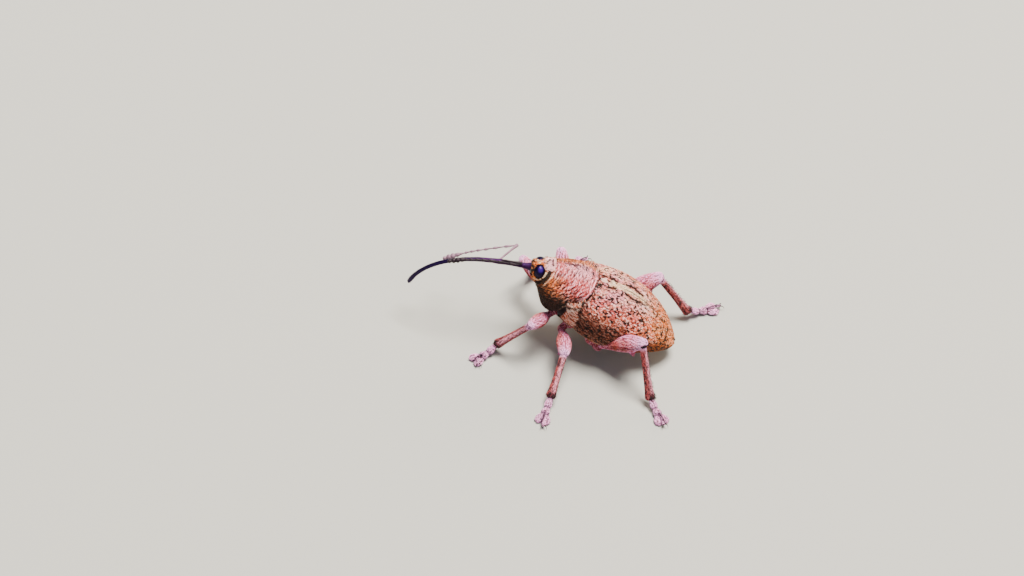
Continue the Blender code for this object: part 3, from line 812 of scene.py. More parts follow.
def mark_shell(thing: bpy.types.Object, patches: Sequence[Patch]) -> None:
    """Gives a shell the marks of the patches that it is made of, read at the nearest grid point.

    Args:
        thing: The shell.
        patches: The patches that cover it.
    """
    from_patches, values = [], []
    for patch in patches:
        rows, columns = patch.points.shape[:2]
        share, around = np.meshgrid(np.linspace(0, 1, rows), np.linspace(0, 1, columns), indexing="ij")
        flat = patch.points.reshape(-1, 3)
        from_patches.append(flat)
        values.append(patch.marks(Spots(patch, share.ravel(), around.ravel(), flat)))
    spots, marks = np.concatenate(from_patches), np.concatenate(values)
    co = places_of(thing.data) / MM - SHIFT
    table: dict[tuple[int, int, int], list[int]] = {}
    for index, key in enumerate(map(tuple, np.floor(spots / SEARCH_CELL).astype(int))):
        table.setdefault(key, []).append(index)
    out = np.zeros((len(co), 4))
    for index, key in enumerate(map(tuple, np.floor(co / SEARCH_CELL).astype(int))):
        near = table.get(key)
        if not near:
            near = [spot for step in itertools.product((-1, 0, 1), repeat=3)
                    for spot in table.get(tuple(np.add(key, step)), ())]
        if near:
            out[index] = marks[near[int(np.argmin(((spots[near] - co[index]) ** 2).sum(1)))]]
    paint(thing.data, out)


def ribbon(line: Sequence[tuple[float, float]], width: float, across: Array, up: Array) -> Array:
    """How much of a painted line covers some places.

    Args:
        line: The line's corners in a plane, in millimetres.
        width: Half the line's width.
        across: The places' first coordinate in the plane.
        up: Their second coordinate.

    Returns:
        1 on the line, fading to 0 at its edge.
    """
    spots = np.stack([across, up], -1)
    least = np.full(spots.shape[:-1], 9.0)
    for start, end in zip(np.array(line[:-1]), np.array(line[1:])):
        run = end - start
        share = np.clip(((spots - start) @ run) / (run @ run), 0, 1)[..., None]
        least = np.minimum(least, np.linalg.norm(spots - start - run * share, axis=-1))
    return ramp_down(0.55 * width, 1.2 * width, least)


def marks_of(pale: float | Array, rose: float | Array, dark: float | Array) -> Array:
    """Packs the shares of pale, rose and dark into one row for each place, with room for a random tone."""
    pale, rose, dark = np.broadcast_arrays(pale, rose, dark)
    return np.clip(np.stack([pale, rose, dark, np.full(pale.shape, 0.5)], -1), 0.0, 1.0)


# Finishes

@dataclass(frozen=True)
class ScaleFinish:
    """Hair-like scales of dry chitin, matt with a faint sheen, rust, pink and cream by their pigment, the
    pink on upper faces partly a painted reflection of the sky.
    """

    name: str = "chitin_scales"
    deep: str = "#a8380a"
    bright: str = "#ff9040"
    rose_deep: str = "#a8262c"
    rose: str = "#ff6c66"
    cream: str = "#fff0cc"
    lilac: str = "#ffc4d2"
    dark: str = "#140302"
    # How strongly scales seen edge on are painted pale, a painted sheen
    rim: float = 0.06
    roughness: float = 0.55

    def material(self) -> bpy.types.Material:
        """Builds the finish from the piece's own marks: pale, rose, dark and a tone for each scale.

        Scales seen edge on are painted paler in the base colour, a painted sheen for the light that the fine
        ridges on them scatter.

        Returns:
            The material.
        """
        material, tree, shader = start_material(self.name)
        marks = add_node(tree, "ShaderNodeAttribute", {"attribute_name": "marks"})
        parts = add_node(tree, "ShaderNodeSeparateColor", inputs={"Color": marks.outputs["Color"]})
        # The painted sheen: the base colour goes pale where scales are seen edge on
        facing = add_node(tree, "ShaderNodeLayerWeight", inputs={"Blend": 0.30})
        edge = add_node(tree, "ShaderNodeMath", {"operation": "MULTIPLY"},
                        {0: facing.outputs["Facing"], 1: self.rim})
        found = {"pale": parts.outputs["Red"], "rose": parts.outputs["Green"], "dark": parts.outputs["Blue"],
                 "tone": marks.outputs["Alpha"], "edge": edge.outputs[0]}
        # What each mix makes, the share that it goes by, and the colours at 0 and at 1
        for name, share, *ends in (("rust", "tone", self.deep, self.bright),
                                   ("pink", "tone", self.rose_deep, self.rose),
                                   ("light", "rose", self.cream, self.lilac),
                                   ("ground", "rose", "rust", "pink"),
                                   ("scale", "pale", "ground", "light"),
                                   ("gapped", "dark", "scale", self.dark),
                                   ("rimmed", "edge", "gapped", "light")):
            low, high = (found[end] if end in found else to_linear(end) for end in ends)
            mix = add_node(tree, "ShaderNodeMix", {"data_type": "RGBA"}, {0: found[share], 6: low, 7: high})
            found[name] = mix.outputs[2]
        tree.links.new(found["rimmed"], shader.inputs["Base Color"])
        shader.inputs["Roughness"].default_value = self.roughness
        shader.inputs["Specular IOR Level"].default_value = 0.22
        return material


@dataclass(frozen=True)
class ShellFinish:
    """Bare chitin, hard and half glossy, with fine punctures."""

    name: str
    base: str
    tinted: str
    joint: str
    roughness: float = 0.38
    # Distance between punctures in millimetres
    grain: float = 0.05
    relief: float = 0.006
    gloss: str = "#ffffff"
    shine: float = 0.5

    def material(self) -> bpy.types.Material:
        """Builds the finish: the base warms with the pale and rose marks and darkens with the dark one.

        Returns:
            The material.
        """
        material, tree, shader = start_material(self.name)
        marks = add_node(tree, "ShaderNodeAttribute", {"attribute_name": "marks"})
        parts = add_node(tree, "ShaderNodeSeparateColor", inputs={"Color": marks.outputs["Color"]})
        place = add_node(tree, "ShaderNodeTexCoord").outputs["Object"]
        uneven = add_node(tree, "ShaderNodeTexNoise", inputs={
            "Vector": place, "Scale": 1 / (6 * self.grain * MM), "Detail": 3.0})
        warm = add_node(tree, "ShaderNodeMath", {"operation": "MAXIMUM"},
                        {0: parts.outputs["Red"], 1: parts.outputs["Green"]})
        share = add_node(tree, "ShaderNodeMath", {"operation": "MULTIPLY"},
                         {0: warm.outputs[0], 1: uneven.outputs["Fac"]})
        colour = add_node(tree, "ShaderNodeMix", {"data_type": "RGBA"},
                          {0: share.outputs[0], 6: to_linear(self.base), 7: to_linear(self.tinted)})
        colour = add_node(tree, "ShaderNodeMix", {"data_type": "RGBA"},
                          {0: parts.outputs["Blue"], 6: colour.outputs[2], 7: to_linear(self.joint)})
        tree.links.new(colour.outputs[2], shader.inputs["Base Color"])
        pits = add_node(tree, "ShaderNodeTexVoronoi", inputs={
            "Vector": place, "Scale": 1 / (self.grain * MM)})
        bump = add_node(tree, "ShaderNodeBump", inputs={
            "Strength": 0.6, "Distance": self.relief * MM, "Height": pits.outputs["Distance"]})
        tree.links.new(bump.outputs["Normal"], shader.inputs["Normal"])
        shader.inputs["Roughness"].default_value = self.roughness
        shader.inputs["Specular Tint"].default_value = to_linear(self.gloss)
        shader.inputs["Specular IOR Level"].default_value = self.shine
        return material


@dataclass(frozen=True)
class EyeFinish:
    """The clear lenses of a compound eye over black pigment, with a violet-tinted gloss and a painted
    blue-violet reflection in the base colour.
    """

    name: str = "eye_lenses"
    base: str = "#030108"
    # The colour of the reflection painted on each eye
    violet: str = "#2c1462"
    gloss: str = "#ae92f6"

    def material(self) -> bpy.types.Material:
        """Builds the finish: near black, with the painted violet reflection where the marks say so, under a
        thin clear coat.

        Returns:
            The material.
        """
        material, tree, shader = start_material(self.name)
        marks = add_node(tree, "ShaderNodeAttribute", {"attribute_name": "marks"})
        parts = add_node(tree, "ShaderNodeSeparateColor", inputs={"Color": marks.outputs["Color"]})
        cloud = add_node(tree, "ShaderNodeTexNoise", inputs={
            "Vector": add_node(tree, "ShaderNodeTexCoord").outputs["Object"], "Scale": 1 / (0.25 * MM),
            "Detail": 2.0})
        share = add_node(tree, "ShaderNodeMath", {"operation": "MULTIPLY_ADD"},
                         {0: cloud.outputs["Fac"], 1: 0.12, 2: parts.outputs["Red"]})
        colour = add_node(tree, "ShaderNodeMix", {"data_type": "RGBA"}, {
            0: share.outputs[0], 6: to_linear(self.base), 7: to_linear(self.violet)})
        tree.links.new(colour.outputs[2], shader.inputs["Base Color"])
        shader.inputs["Specular Tint"].default_value = to_linear(self.gloss)
        for name, value in {"Roughness": 0.30, "Specular IOR Level": 0.22, "Coat Weight": 0.10,
                            "Coat Roughness": 0.05}.items():
            shader.inputs[name].default_value = value
        return material


SCALES = ScaleFinish()
LEG_SCALES = ScaleFinish(name="leg_scales", deep="#8c1c12", bright="#e85c40", rose_deep="#b83a54",
                         rose="#ff7f9c", cream="#ffc8b4", lilac="#ffbcf0", dark="#100210", rim=0.10)
BODY_SHELL = ShellFinish("dark_body_shell", "#1c0806", "#5a1c10", "#060202")
LEG_SHELL = ShellFinish("leg_shell", "#5a1a16", "#a0484c", "#0c0406", roughness=0.4, grain=0.035,
                        relief=0.004)
SNOUT_SHELL = ShellFinish("polished_snout_shell", "#0c0320", "#5a1028", "#020004", roughness=0.36,
                          grain=0.03, relief=0.003, gloss="#bc90ff", shine=0.36)
FEELER_SHELL = ShellFinish("feeler_shell", "#4a3240", "#c8a0b8", "#0e0510", roughness=0.5, grain=0.03,
                           relief=0.002, shine=0.25)
CLAW_HORN = ShellFinish("claw_horn", "#2a1512", "#5a3326", "#0c0606", roughness=0.25, grain=0.02,
                        relief=0.001)


class Studio:
    """The floor, the lights and the camera at the photograph's angle."""

    lens = 300.0
    sensor = 36.0
    pixels_per_mm = 21.24
    frame_width = 1024
    # The point at the middle of the frame, in the standing frame
    target = np.array([0.201, -4.191, 2.316])
    right = np.array([-0.1533, 0.9781, 0.1405])
    up = np.array([-0.7212, -0.2079, 0.6608])

    def build(self) -> None:
        """Adds floor, lights, world and camera."""
        self.floor()
        self.lights()
        self.camera()

    def floor(self) -> None:
        """A plain pale floor of painted board."""
        deselect()
        bpy.ops.mesh.primitive_plane_add(size=2.0, location=(0, 0, 0))
        floor = bpy.context.object
        floor.name = "floor"
        board, _, shader = start_material("pale_board")
        shader.inputs["Base Color"].default_value = to_linear("#a7aaa4")
        shader.inputs["Roughness"].default_value = 0.85
        floor.data.materials.append(board)

    def lights(self) -> None:
        """A broad overhead light, a weaker one on the near side, and a soft sky."""
        lamps = (("overhead", (-0.07, 0.03, 0.34), 0.16, 4.8, "#fff4ea"),
                 ("near_side", (0.30, -0.16, 0.20), 0.22, 0.25, "#efeaff"),
                 ("behind", (-0.26, 0.16, 0.12), 0.14, 0.70, "#ffdcb8"))
        for name, place, size, power, tint in lamps:
            deselect()
            bpy.ops.object.light_add(type="AREA", location=place)
            light = bpy.context.object
            light.name = name
            light.data.size = size
            light.data.energy = power
            light.data.color = to_linear(tint)[:3]
            light.rotation_mode = "QUATERNION"
            light.rotation_quaternion = Vector(place).to_track_quat("Z", "Y")
        world = bpy.data.worlds.new("soft_sky")
        world.use_nodes = True
        sky = world.node_tree.nodes["Background"].inputs
        sky["Color"].default_value, sky["Strength"].default_value = to_linear("#dfe6ee"), 0.26
        bpy.context.scene.world = world

    def camera(self) -> None:
        """A long lens at the photograph's viewing angle and framing."""
        back = np.cross(self.right, self.up)
        distance = self.frame_width / self.pixels_per_mm / self.sensor * self.lens
        deselect()
        bpy.ops.object.camera_add()
        camera = bpy.context.object
        camera.name = "camera"
        camera.data.lens = self.lens
        camera.data.sensor_width = self.sensor
        camera.data.clip_start, camera.data.clip_end = 0.01, 5.0
        axes = Matrix(np.stack([self.right, self.up, back], -1).tolist())
        place = (self.target + SHIFT + back * distance) * MM
        camera.matrix_world = Matrix.Translation(Vector(place)) @ axes.to_4x4()
        bpy.context.scene.camera = camera


def dress(thing: bpy.types.Object, finish: object, slot: str, *nodes: str) -> bpy.types.Object:
    """Gives a piece its finish, attaches it to the root and hides the solids that it stands for.

    Args:
        thing: The piece.
        finish: The finish, whose material method builds the material.
        slot: Not used.
        nodes: The solids that it takes the place of.

    Returns:
        The piece.
    """
    material = bpy.data.materials.get(finish.name) or finish.material()
    thing.data.materials.clear()
    thing.data.materials.append(material)
    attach(thing, "root")
    if nodes:
        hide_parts(*nodes)
    LOG.info("%s: %d faces", thing.name, len(thing.data.polygons))
    return thing


# The body

@dataclass
class Elytron:
    """One wing case: a thin hard shell with rows of punctures, under a coat of lying scales."""

    side: Side
    depth: float = 0.045
    edge: float = math.radians(-28.0)
    rows: int = 150
    columns: int = 101
    striae: int = 10
    groove: float = 0.014
    wall: float = 0.09
    # The share of the length in which the shoulder leans forward
    shoulder: float = 0.22
    # The distance between punctures along a groove
    puncture_step: float = 0.115

    def marks(self, at: Spots) -> Array:
        """Pink with cream flecks, a cream stripe and black dashes by the suture, painted shade down the
        sides, a rust tip.

        Args:
            at: Places on the patch.

        Returns:
            Pale, rose, dark and a tone for each place.
        """
        share, around, far = at.share, at.around, self.side is Side.RIGHT
        wisps, blotch, speck = at.streaks(0.045, 0.035), at.mottle(0.30), at.mottle(0.080)
        rear = ramp_up(0.30, 0.85, share + 0.45 * (blotch - 0.5) + 0.25 * (speck - 0.5))
        # The right wing case is more orange: partly rust, partly painted warm light from the far side
        if far:
            rear = np.maximum(rear, 0.6 * ramp_up(0.16, 0.32, around) * ramp_up(0.14, 0.34, share))
        # Painted shade: the sides darken downward, away from the light above
        side = ramp_up(0.34, 0.70, around + 0.20 * (blotch - 0.5))
        stripe = ramp_down(0.026, 0.046, around + 0.02 * (speck - 0.5))
        stripe = stripe * ramp_up(0.09, 0.14, share) * ramp_down(0.42, 0.66, share + 0.3 * (blotch - 0.5))
        cream = hump(0.09, 0.08, around) * hump(0.50, 0.09, share) * ramp_up(0.25, 0.5, wisps)
        # Painted highlight: pale shoulders, much stronger on the right wing case, where the light falls
        shoulder = hump(0.27, 0.14, around) * ramp_down(0.10, 0.34, share) * (0.55 if far else 0.1)
        flecks = ramp_up(0.55, 0.78, wisps) * (0.95 - 0.55 * rear - 0.60 * side)
        # Painted sheen: paler on top by the suture, a reflection of the sky
        top_sheen = 0.50 * hump(0.14, 0.12, around) * hump(0.24, 0.20, share)
        grain = 0.35 + 0.65 * ramp_up(0.25, 0.55, wisps)
        pale = np.maximum.reduce([0.95 * stripe * grain, cream, flecks, top_sheen, shoulder * grain])
        # The pink fades down the sides: partly pigment, partly a painted reflection of the sky on the upper
        # faces
        rose = ((1 - rear) * (1 - 0.55 * side) * (1 - 0.9 * np.maximum(stripe, shoulder))
                * (0.6 + 0.4 * ramp_up(0.3, 0.7, blotch)))
        line = around - 0.058 - 0.016 * np.sin(share * 21.0)
        broken = ramp_up(0.36, 0.46, at.breaks(HindBody.length, 0.21))
        dashes = hump(0.0, 0.016, line) * ramp_up(0.09, 0.12, share) * ramp_down(0.46, 0.50, share) * broken
        seam = hump(0.0, 0.007, around) * ramp_up(0.26, 0.32, share)
        base = hump(0.066, 0.012, around) * ramp_up(0.026, 0.034, share) * ramp_down(0.085, 0.105, share)
        dark = ramp_down(0.14, 0.30, wisps) * (1 - 0.25 * rear) * (1 - 0.8 * stripe)
        dark += ramp_up(0.61 - 0.03 * rear, 0.68, speck) * (1 - 0.8 * stripe) + 1.5 * (dashes + base) + seam
        # Painted shade down the sides
        dark += side * (0.45 + 0.45 * ramp_up(0.30, 0.6, 1 - wisps)) * (1 - 0.25 * rear)
        return marks_of(pale * (1 - np.minimum((dashes + base) * 1.4, 1)), rose, dark)

    def off_groove(self, around: Array) -> Array:
        """How far places lie from the nearest groove, as a share of the distance between two."""
        return around * self.striae % 1.0 - 0.5

    def punctures(self, share: Array) -> Array:
        """A wave along the grooves, 1 at each puncture and -1 halfway between two."""
        return np.cos(share * HindBody.length / self.puncture_step * 2 * np.pi)

    def keep(self, at: Spots) -> Array:
        """The chance that a scale grows: few along the grooves, where the punctures are bare.

        Args:
            at: Places on the patch.

        Returns:
            One chance for each place.
        """
        share, around = at.share, at.around
        bare = hump(0.0, 0.11, self.off_groove(around)) * (0.5 + 0.5 * self.punctures(share))
        gaps = ramp_down(0.14, 0.34, at.streaks(0.045, 0.035))
        return (1 - 0.60 * bare - 0.55 * gaps) * ((share > 0.012) | (around > 0.10))

    def patch(self) -> Patch:
        """The outer face of the shell.

        Returns:
            The patch.
        """
        share = np.linspace(0.0, 1.0, self.rows)[:, None]
        around = np.linspace(0.0, 1.0, self.columns)[None]
        angles = math.pi / 2 + around * (self.edge - math.pi / 2)
        points = HindBody.outline(share, angles, self.depth)
        points[..., 0] = np.maximum(points[..., 0], 0.008 + 0.10 * ramp_up(0.93, 1.0, share))
        drop = 0.03 * ramp_down(0.0, 0.025, share) + 0.03 * ramp_down(0.0, 0.02, around)
        swell = 0.05 * hump(0.09, 0.06, share) * hump(0.62, 0.12, around)
        holes = 0.55 + 0.45 * self.punctures(share)
        dent = self.groove * hump(0.0, 0.13, self.off_groove(around)) * holes * ramp_up(0.0, 0.04, share)
        outward = unit(points - np.stack([0 * points[..., 0], points[..., 1],
                                          follow(HindBody.widest, share) * HindBody.depth + 0 * around], -1))
        fade = np.maximum(1 - share / self.shoulder, 0.0) ** 2
        points[..., 1] -= HindBody.shoulder_lean(points[..., 2]) * fade
        points = points + outward * (swell - drop - dent)[..., None]
        # The front edge turns in, toward the slimmer pronotum
        inward = outward[0] * (0.3 + 0.7 * ramp_up(0.08, 0.25, around[0]))[:, None]
        rim = [points[0] - inward * reach + np.array([0, back, 0])
               for reach, back in ((0.34, 0.09), (0.22, 0.05), (0.10, 0.02), (0.03, 0.004))]
        points = np.concatenate([np.array(rim), points])
        points[..., 0] *= self.side.value
        return Patch(STANCE.body_points(points), self.marks, wraps=False)

    def build(self) -> None:
        """Makes the shell and its coat."""
        patch = self.patch()
        shell = sheet("elytron_" + self.side.word, patch.points)
        middle = (STANCE.body_points([0.0, 2.0, 1.4]) + SHIFT) * MM
        polygon = shell.data.polygons[len(shell.data.polygons) // 2]
        if polygon.normal.dot(polygon.center - Vector(middle)) < 0:
            shell.data.flip_normals()
        apply_modifier(shell, "SOLIDIFY", {"thickness": self.wall * MM, "offset": -1.0})
        mark_shell(shell, [patch])
        dress(shell, BODY_SHELL, "scaled_shell", "elytron_" + self.side.word)
        growth = Growth(patch, 0.0320, 0.105, 0.040, lift=0.017, keep=self.keep, sway=0.25)
        coat = Coat("coat_elytron_" + self.side.word, [growth], SEED + self.side.value).build()
        dress(coat, SCALES, "scaled_shell")


@dataclass
class Pronotum:
    """The shield behind the head, a rounded cone with scales that stream back and up to its middle line."""

    length: float = 2.18
    radius: float = 1.34
    rear_height: float = 1.69
    rise: float = math.radians(3.0)
    depth: float = 0.045
    rounding: float = 0.97
    deepening: float = 0.30
    rows: int = 110
    columns: int = 150
    # How far the front margin reaches forward below
    chin: float = 0.15
    wall: float = 0.05
    radii: Shares = ((0.0, 0.955), (0.10, 0.99), (0.25, 1.0), (0.45, 0.93), (0.65, 0.80), (0.82, 0.67),
                     (0.93, 0.59), (1.0, 0.56))

    def marks(self, at: Spots) -> Array:
        """Pale pink wisps on top, pink then rust down the sides, with dark red gaps and a pale rear rim;
        partly painted light above and painted shade below.

        Args:
            at: Places on the patch.

        Returns:
            Pale, rose, dark and a tone for each place.
        """
        share, around = at.share, at.around
        wisps, blotch, speck = at.streaks(0.042, 0.065), at.mottle(0.33), at.mottle(0.10)
        down = np.where(around < 0.75, np.abs(around - 0.25), 1.25 - around) + 0.03 * (blotch - 0.5)
        low = ramp_up(0.10, 0.26, down)
        # The right side is rust almost up to the middle line: partly rust, partly painted warm light from the
        # far side
        far_side = ramp_up(0.310, 0.335, around) * ramp_down(0.42, 0.50, around)
        rust = np.maximum(far_side, ramp_down(0.18, 0.56, share) * ramp_up(0.08, 0.17, down))
        # The pink fades down the sides: partly pigment, partly a painted reflection of the sky on the upper
        # faces
        rose = (1 - 0.80 * ramp_up(0.12, 0.24, down - 0.04 * share)) * (1 - 0.85 * rust)
        # Painted light, in part: the pale wisps and the crest are strongest on top, where the light falls
        pale = ramp_up(0.52 + 0.16 * low, 0.84, wisps) * (1.0 - 0.65 * low) * (1 - 0.75 * rust)
        crest = 0.75 * hump(0.03, 0.045, down) * hump(0.60, 0.30, share) * ramp_up(0.2, 0.5, wisps)
        rim = hump(0.925, 0.012, share)
        beads = hump(0.302, 0.010, around) * ramp_up(0.45, 0.55, at.breaks(1.0, 0.04))
        spot = hump(0.27, 0.018, around) * hump(0.83, 0.028, share)
        dark = ramp_down(0.22 + 0.16 * low, 0.42 + 0.20 * low, wisps) * (0.85 + 0.15 * low)
        # Painted shade: the lower sides darken, away from the light above
        dark += ramp_up(0.70, 0.78, speck) * 0.6 + 0.80 * ramp_up(0.25, 0.37, down + 0.11 * share)
        dark += 0.22 * low * share
        # The dark line at the rear margin is painted shade in the seam before the wing cases
        dark += hump(0.965, 0.012, share) + beads * hump(0.40, 0.25, share) + 1.5 * spot
        beside = ramp_up(0.35, 0.6, np.cos((around - 0.03) * 2 * np.pi) ** 2) * ramp_down(0.22, 0.36, down)
        # Painted shade: black at the front margin beside the head, in the gap where the head meets the
        # pronotum
        bow = ramp_down(0.066, 0.086, share) * beside
        collar = hump(0.105, 0.013, share) * beside
        pale = np.maximum.reduce([pale, crest, rim, collar])
        # Painted shade: fewer pale wisps low on the sides
        pale = pale * (1 - 0.6 * ramp_up(0.28, 0.4, down)) * (1 - bow)
        dark = np.maximum(dark * (1 - 0.8 * rim) * (1 - collar), bow)
        return marks_of(pale, rose * (1 - 0.4 * collar), dark)

    def patch(self) -> Patch:
        """The outer face, rows from front to rear with both rims turned in.

        Returns:
            The patch.
        """
        share = np.linspace(1.0, 0.0, self.rows)
        radius = follow(self.radii, share) * self.radius - self.depth
        angle = np.linspace(0, 2 * np.pi, self.columns + 1)[None]
        height = self.rear_height + np.tan(self.rise) * share[:, None] * self.length
        down = self.rounding * radius[:, None] * np.sin(angle)
        down = np.where(down < 0, down * (1 + self.deepening * np.sin(np.pi * share[:, None] ** 0.8)), down)
        z = height + down
        rear = HindBody.front - GAP - HindBody.pronotum_lean(z)
        front = HindBody.front - GAP - self.length - self.chin * ramp_down(1.70, 2.50, z)
        y = rear + share[:, None] * (front - rear)
        points = np.stack([radius[:, None] * np.cos(angle), y, z], -1)
        centre = np.stack([0 * z, y, height + 0 * z], -1)
        front_rim = [centre[0] + (points[0] - centre[0]) * scale + np.array([0, back, 0])
                     for scale, back in ((0.80, 0.22), (0.93, 0.03), (0.985, 0.004))]
        rear_rim = [centre[-1] + (points[-1] - centre[-1]) * scale + np.array([0, back, 0])
                    for scale, back in ((0.985, 0.012), (0.955, 0.03), (0.90, 0.03), (0.3, -0.1))]
        points = np.concatenate([np.array(front_rim), points, np.array(rear_rim)])
        return Patch(STANCE.body_points(points), self.marks, turn=self.turn)

    def turn(self, share: Array, around: Array) -> Array:
        """Scales stream up and back toward the middle line, and meet across it."""
        angle = around * 2 * np.pi
        return np.tanh(6 * np.cos(angle)) * (1.03 + 0.50 * np.maximum(np.sin(angle), 0.0) + 0.12 * share)

    def keep(self, at: Spots) -> Array:
        """Fewer scales in the dark streaks, and none on the rims."""
        gaps = ramp_down(0.16, 0.36, at.streaks(0.042, 0.065))
        return (1 - 0.55 * gaps) * np.where((at.share > 0.022) & (at.share < 0.962), 1.0, 0.0)

    def build(self) -> None:
        """Makes the shield and its coat."""
        patch = self.patch()
        shell = sheet("pronotum", patch.points)
        apply_modifier(shell, "SOLIDIFY", {"thickness": self.wall * MM, "offset": -1.0})
        mark_shell(shell, [patch])
        dress(shell, BODY_SHELL, "scaled_shell", "pronotum")
        growth = Growth(patch, 0.0330, 0.165, 0.034, lift=0.018, keep=self.keep, sway=0.15)
        dress(Coat("coat_pronotum", [growth], SEED + 3).build(), SCALES, "scaled_shell")


@dataclass
class Underside:
    """Breast and belly: dark shell with ring grooves under thin pale scales."""

    depth: float = 0.035
    inner: float = 0.45
    edge: float = math.radians(-28.0)
    rows: int = 120
    grooves: tuple[float, ...] = (0.47, 0.62, 0.71, 0.80, 0.89)
    breast_length: float = 0.66
    breast_top: float = math.radians(36.0)
    breast_columns: int = 46
    breast_inset: float = 0.04

    def marks(self, at: Spots) -> Array:
        """Pale scales over dark, thinner toward the middle.

        Args:
            at: Places on the patch.

        Returns:
            Pale, rose, dark and a tone for each place.
        """
        wisps = at.streaks(0.05, 0.07)
        dark = 0.75 * ramp_down(0.2, 0.5, wisps) + 0.25
        return marks_of(0.6 * ramp_up(0.5, 0.8, wisps), 0.35 * at.mottle(0.4), dark)

    def breast_marks(self, at: Spots) -> Array:
        """A rust and pink lobe on each side, with painted shade along its edges and below it.

        Args:
            at: Places on the patch.

        Returns:
            Pale, rose, dark and a tone for each place.
        """
        share, around = at.share, at.around
        wisps, speck = at.streaks(0.045, 0.06), at.mottle(0.09)
        # The lobes lie at the two ends of the half circle, which the section's lid closes
        down = np.minimum(around, 2 * (self.breast_columns - 1) / (2 * self.breast_columns - 1) - around)
        # Counted from the lobe's own upper edge, 18 degrees above the widest line
        angle = down * (self.breast_top + math.pi / 2) * 2 - self.breast_top + math.radians(18.0)
        down = angle / math.radians(216.0)
        slant = down + 0.16 * share
        rim = hump(0.115, 0.012, slant)
        below = ramp_up(0.22, 0.30, down)
        upper = ramp_down(0.07, 0.09, slant)
        # Painted shade: a dark line in the seam above the lobe, and the underside below it
        dark = hump(0.088, 0.012, slant) + ramp_down(0.16, 0.36, wisps) * 0.7 + 0.9 * below
        # Painted shade in the gap above the lobe
        dark += ramp_up(0.66, 0.74, speck) * 0.7 * upper + 0.40 * upper
        # Painted shade at the rear, in the notch before the wing cases
        dark += ramp_up(0.90, 0.95, share) + hump(0.13, 0.02, down) * ramp_up(0.75, 0.85, share)
        # The pronotum's shadow, painted on the front end
        dark += ramp_down(0.06, 0.10, share)
        return marks_of(rim + ramp_up(0.40, 0.70, wisps) * 0.70 * (1 - below), 0.40 * (1 - below), dark)

    def belly(self) -> Patch:
        """The belly from the breast to its end, and its hidden core under the wing cases.

        Returns:
            The patch.
        """
        share = np.linspace(-0.05, 0.955, self.rows)[:, None]
        upper = np.linspace(math.pi / 2, self.edge, 14)[None]
        lower = np.linspace(self.edge - 0.03, -math.pi / 2, 46)[None]
        dent = sum(0.035 * hump(groove, 0.008, share) for groove in self.grooves)
        outer = HindBody.outline(np.maximum(share, 0.0), lower, self.depth)
        centre = np.stack([0 * outer[..., 0], outer[..., 1],
                           follow(HindBody.widest, share) * HindBody.depth + 0 * lower], -1)
        outer = outer - unit(outer - centre) * dent[..., None]
        half = np.concatenate([HindBody.outline(np.maximum(share, 0.0), upper, self.inner), outer], 1)
        half[..., 1] = HindBody.front + share * HindBody.length
        ring = np.concatenate([half, half[:, -2::-1] * np.array([-1, 1, 1])], 1)
        middle = ring.mean(1, keepdims=True)
        end = middle[-1] + (ring[-1] - middle[-1]) * 0.6 + np.array([0, 0.06, 0])
        ring = np.concatenate([middle[:1] + 0 * ring[:1], ring, end[None], middle[-1:] + 0 * ring[-1:]])
        return Patch(STANCE.body_points(ring), self.marks, tile=bake_tile(0, 2))

    def breast(self) -> Patch:
        """The breast between the pronotum and the wing cases, a little swollen at its sides.

        Returns:
            The patch.
        """
        count = self.breast_columns
        angles = np.linspace(self.breast_top, -math.pi / 2, count)
        rows = []
        for step in np.linspace(1.0, 0.0, 30):
            half = HindBody.outline(np.full(count, 0.03), angles, self.breast_inset + self.depth)
            lobe = 0.035 * hump(-4.0, 34.0, np.degrees(angles)) * math.sin(math.pi * min(step + 0.06, 1.0))
            half[:, 0] = half[:, 0] * (1 - 0.25 * step**2) + lobe
            # Above the lobe it only closes the seam
            length = self.breast_length * (1 - 0.90 * ramp_up(math.radians(12.0), math.radians(22.0), angles))
            half[:, 1] = HindBody.front - GAP - HindBody.shoulder_lean(half[:, 2]) - step * length
            rows.append(np.concatenate([half, half[-2::-1] * np.array([-1, 1, 1]), half[:1]]))
        grid = np.array(rows)
        middle = grid.mean(1, keepdims=True)
        # A narrower neck reaches into the pronotum's rear opening and closes the view between them
        neck = middle[:1] + (grid[:1] - middle[:1]) * 0.78 + np.array([0, -0.30, 0])
        front, back = neck.mean(1, keepdims=True) + 0 * neck, middle[-1:] + 0 * grid[-1:]
        grid = np.concatenate([front, neck, grid, back])
        return Patch(STANCE.body_points(grid), self.breast_marks, tile=bake_tile(1, 2))

    def lower_half(self, at: Spots) -> Array:
        """Scales grow only on the open lower face, thinly along the middle."""
        across = np.abs(at.around - 0.5) * 2
        return np.where(across < 0.74, 0.25 + 0.75 * ramp_up(0.1, 0.5, across), 0.0)

    def open_part(self, at: Spots) -> Array:
        """Scales grow round the breast, but not on its ends or on the hidden lid of its section."""
        lid = (2 * self.breast_columns - 2) / (2 * self.breast_columns - 1)
        return np.where((at.share > 0.06) & (at.share < 0.955) & (at.around < lid), 1.0, 0.0)

    def build(self) -> None:
        """Makes belly and breast as one piece, and their coat."""
        belly, breast = self.belly(), self.breast()
        shell = join("underside", [sheet("belly", belly.points), sheet("breast", breast.points)])
        mark_shell(shell, [belly, breast])
        dress(shell, BODY_SHELL, "belly", "underside")
        growths = [Growth(belly, 0.044, 0.15, 0.036, keep=self.lower_half),
                   Growth(breast, 0.034, 0.17, 0.038, lift=0.016, keep=self.open_part)]
        dress(Coat("coat_underside", growths, SEED + 4).build(), SCALES, "belly")


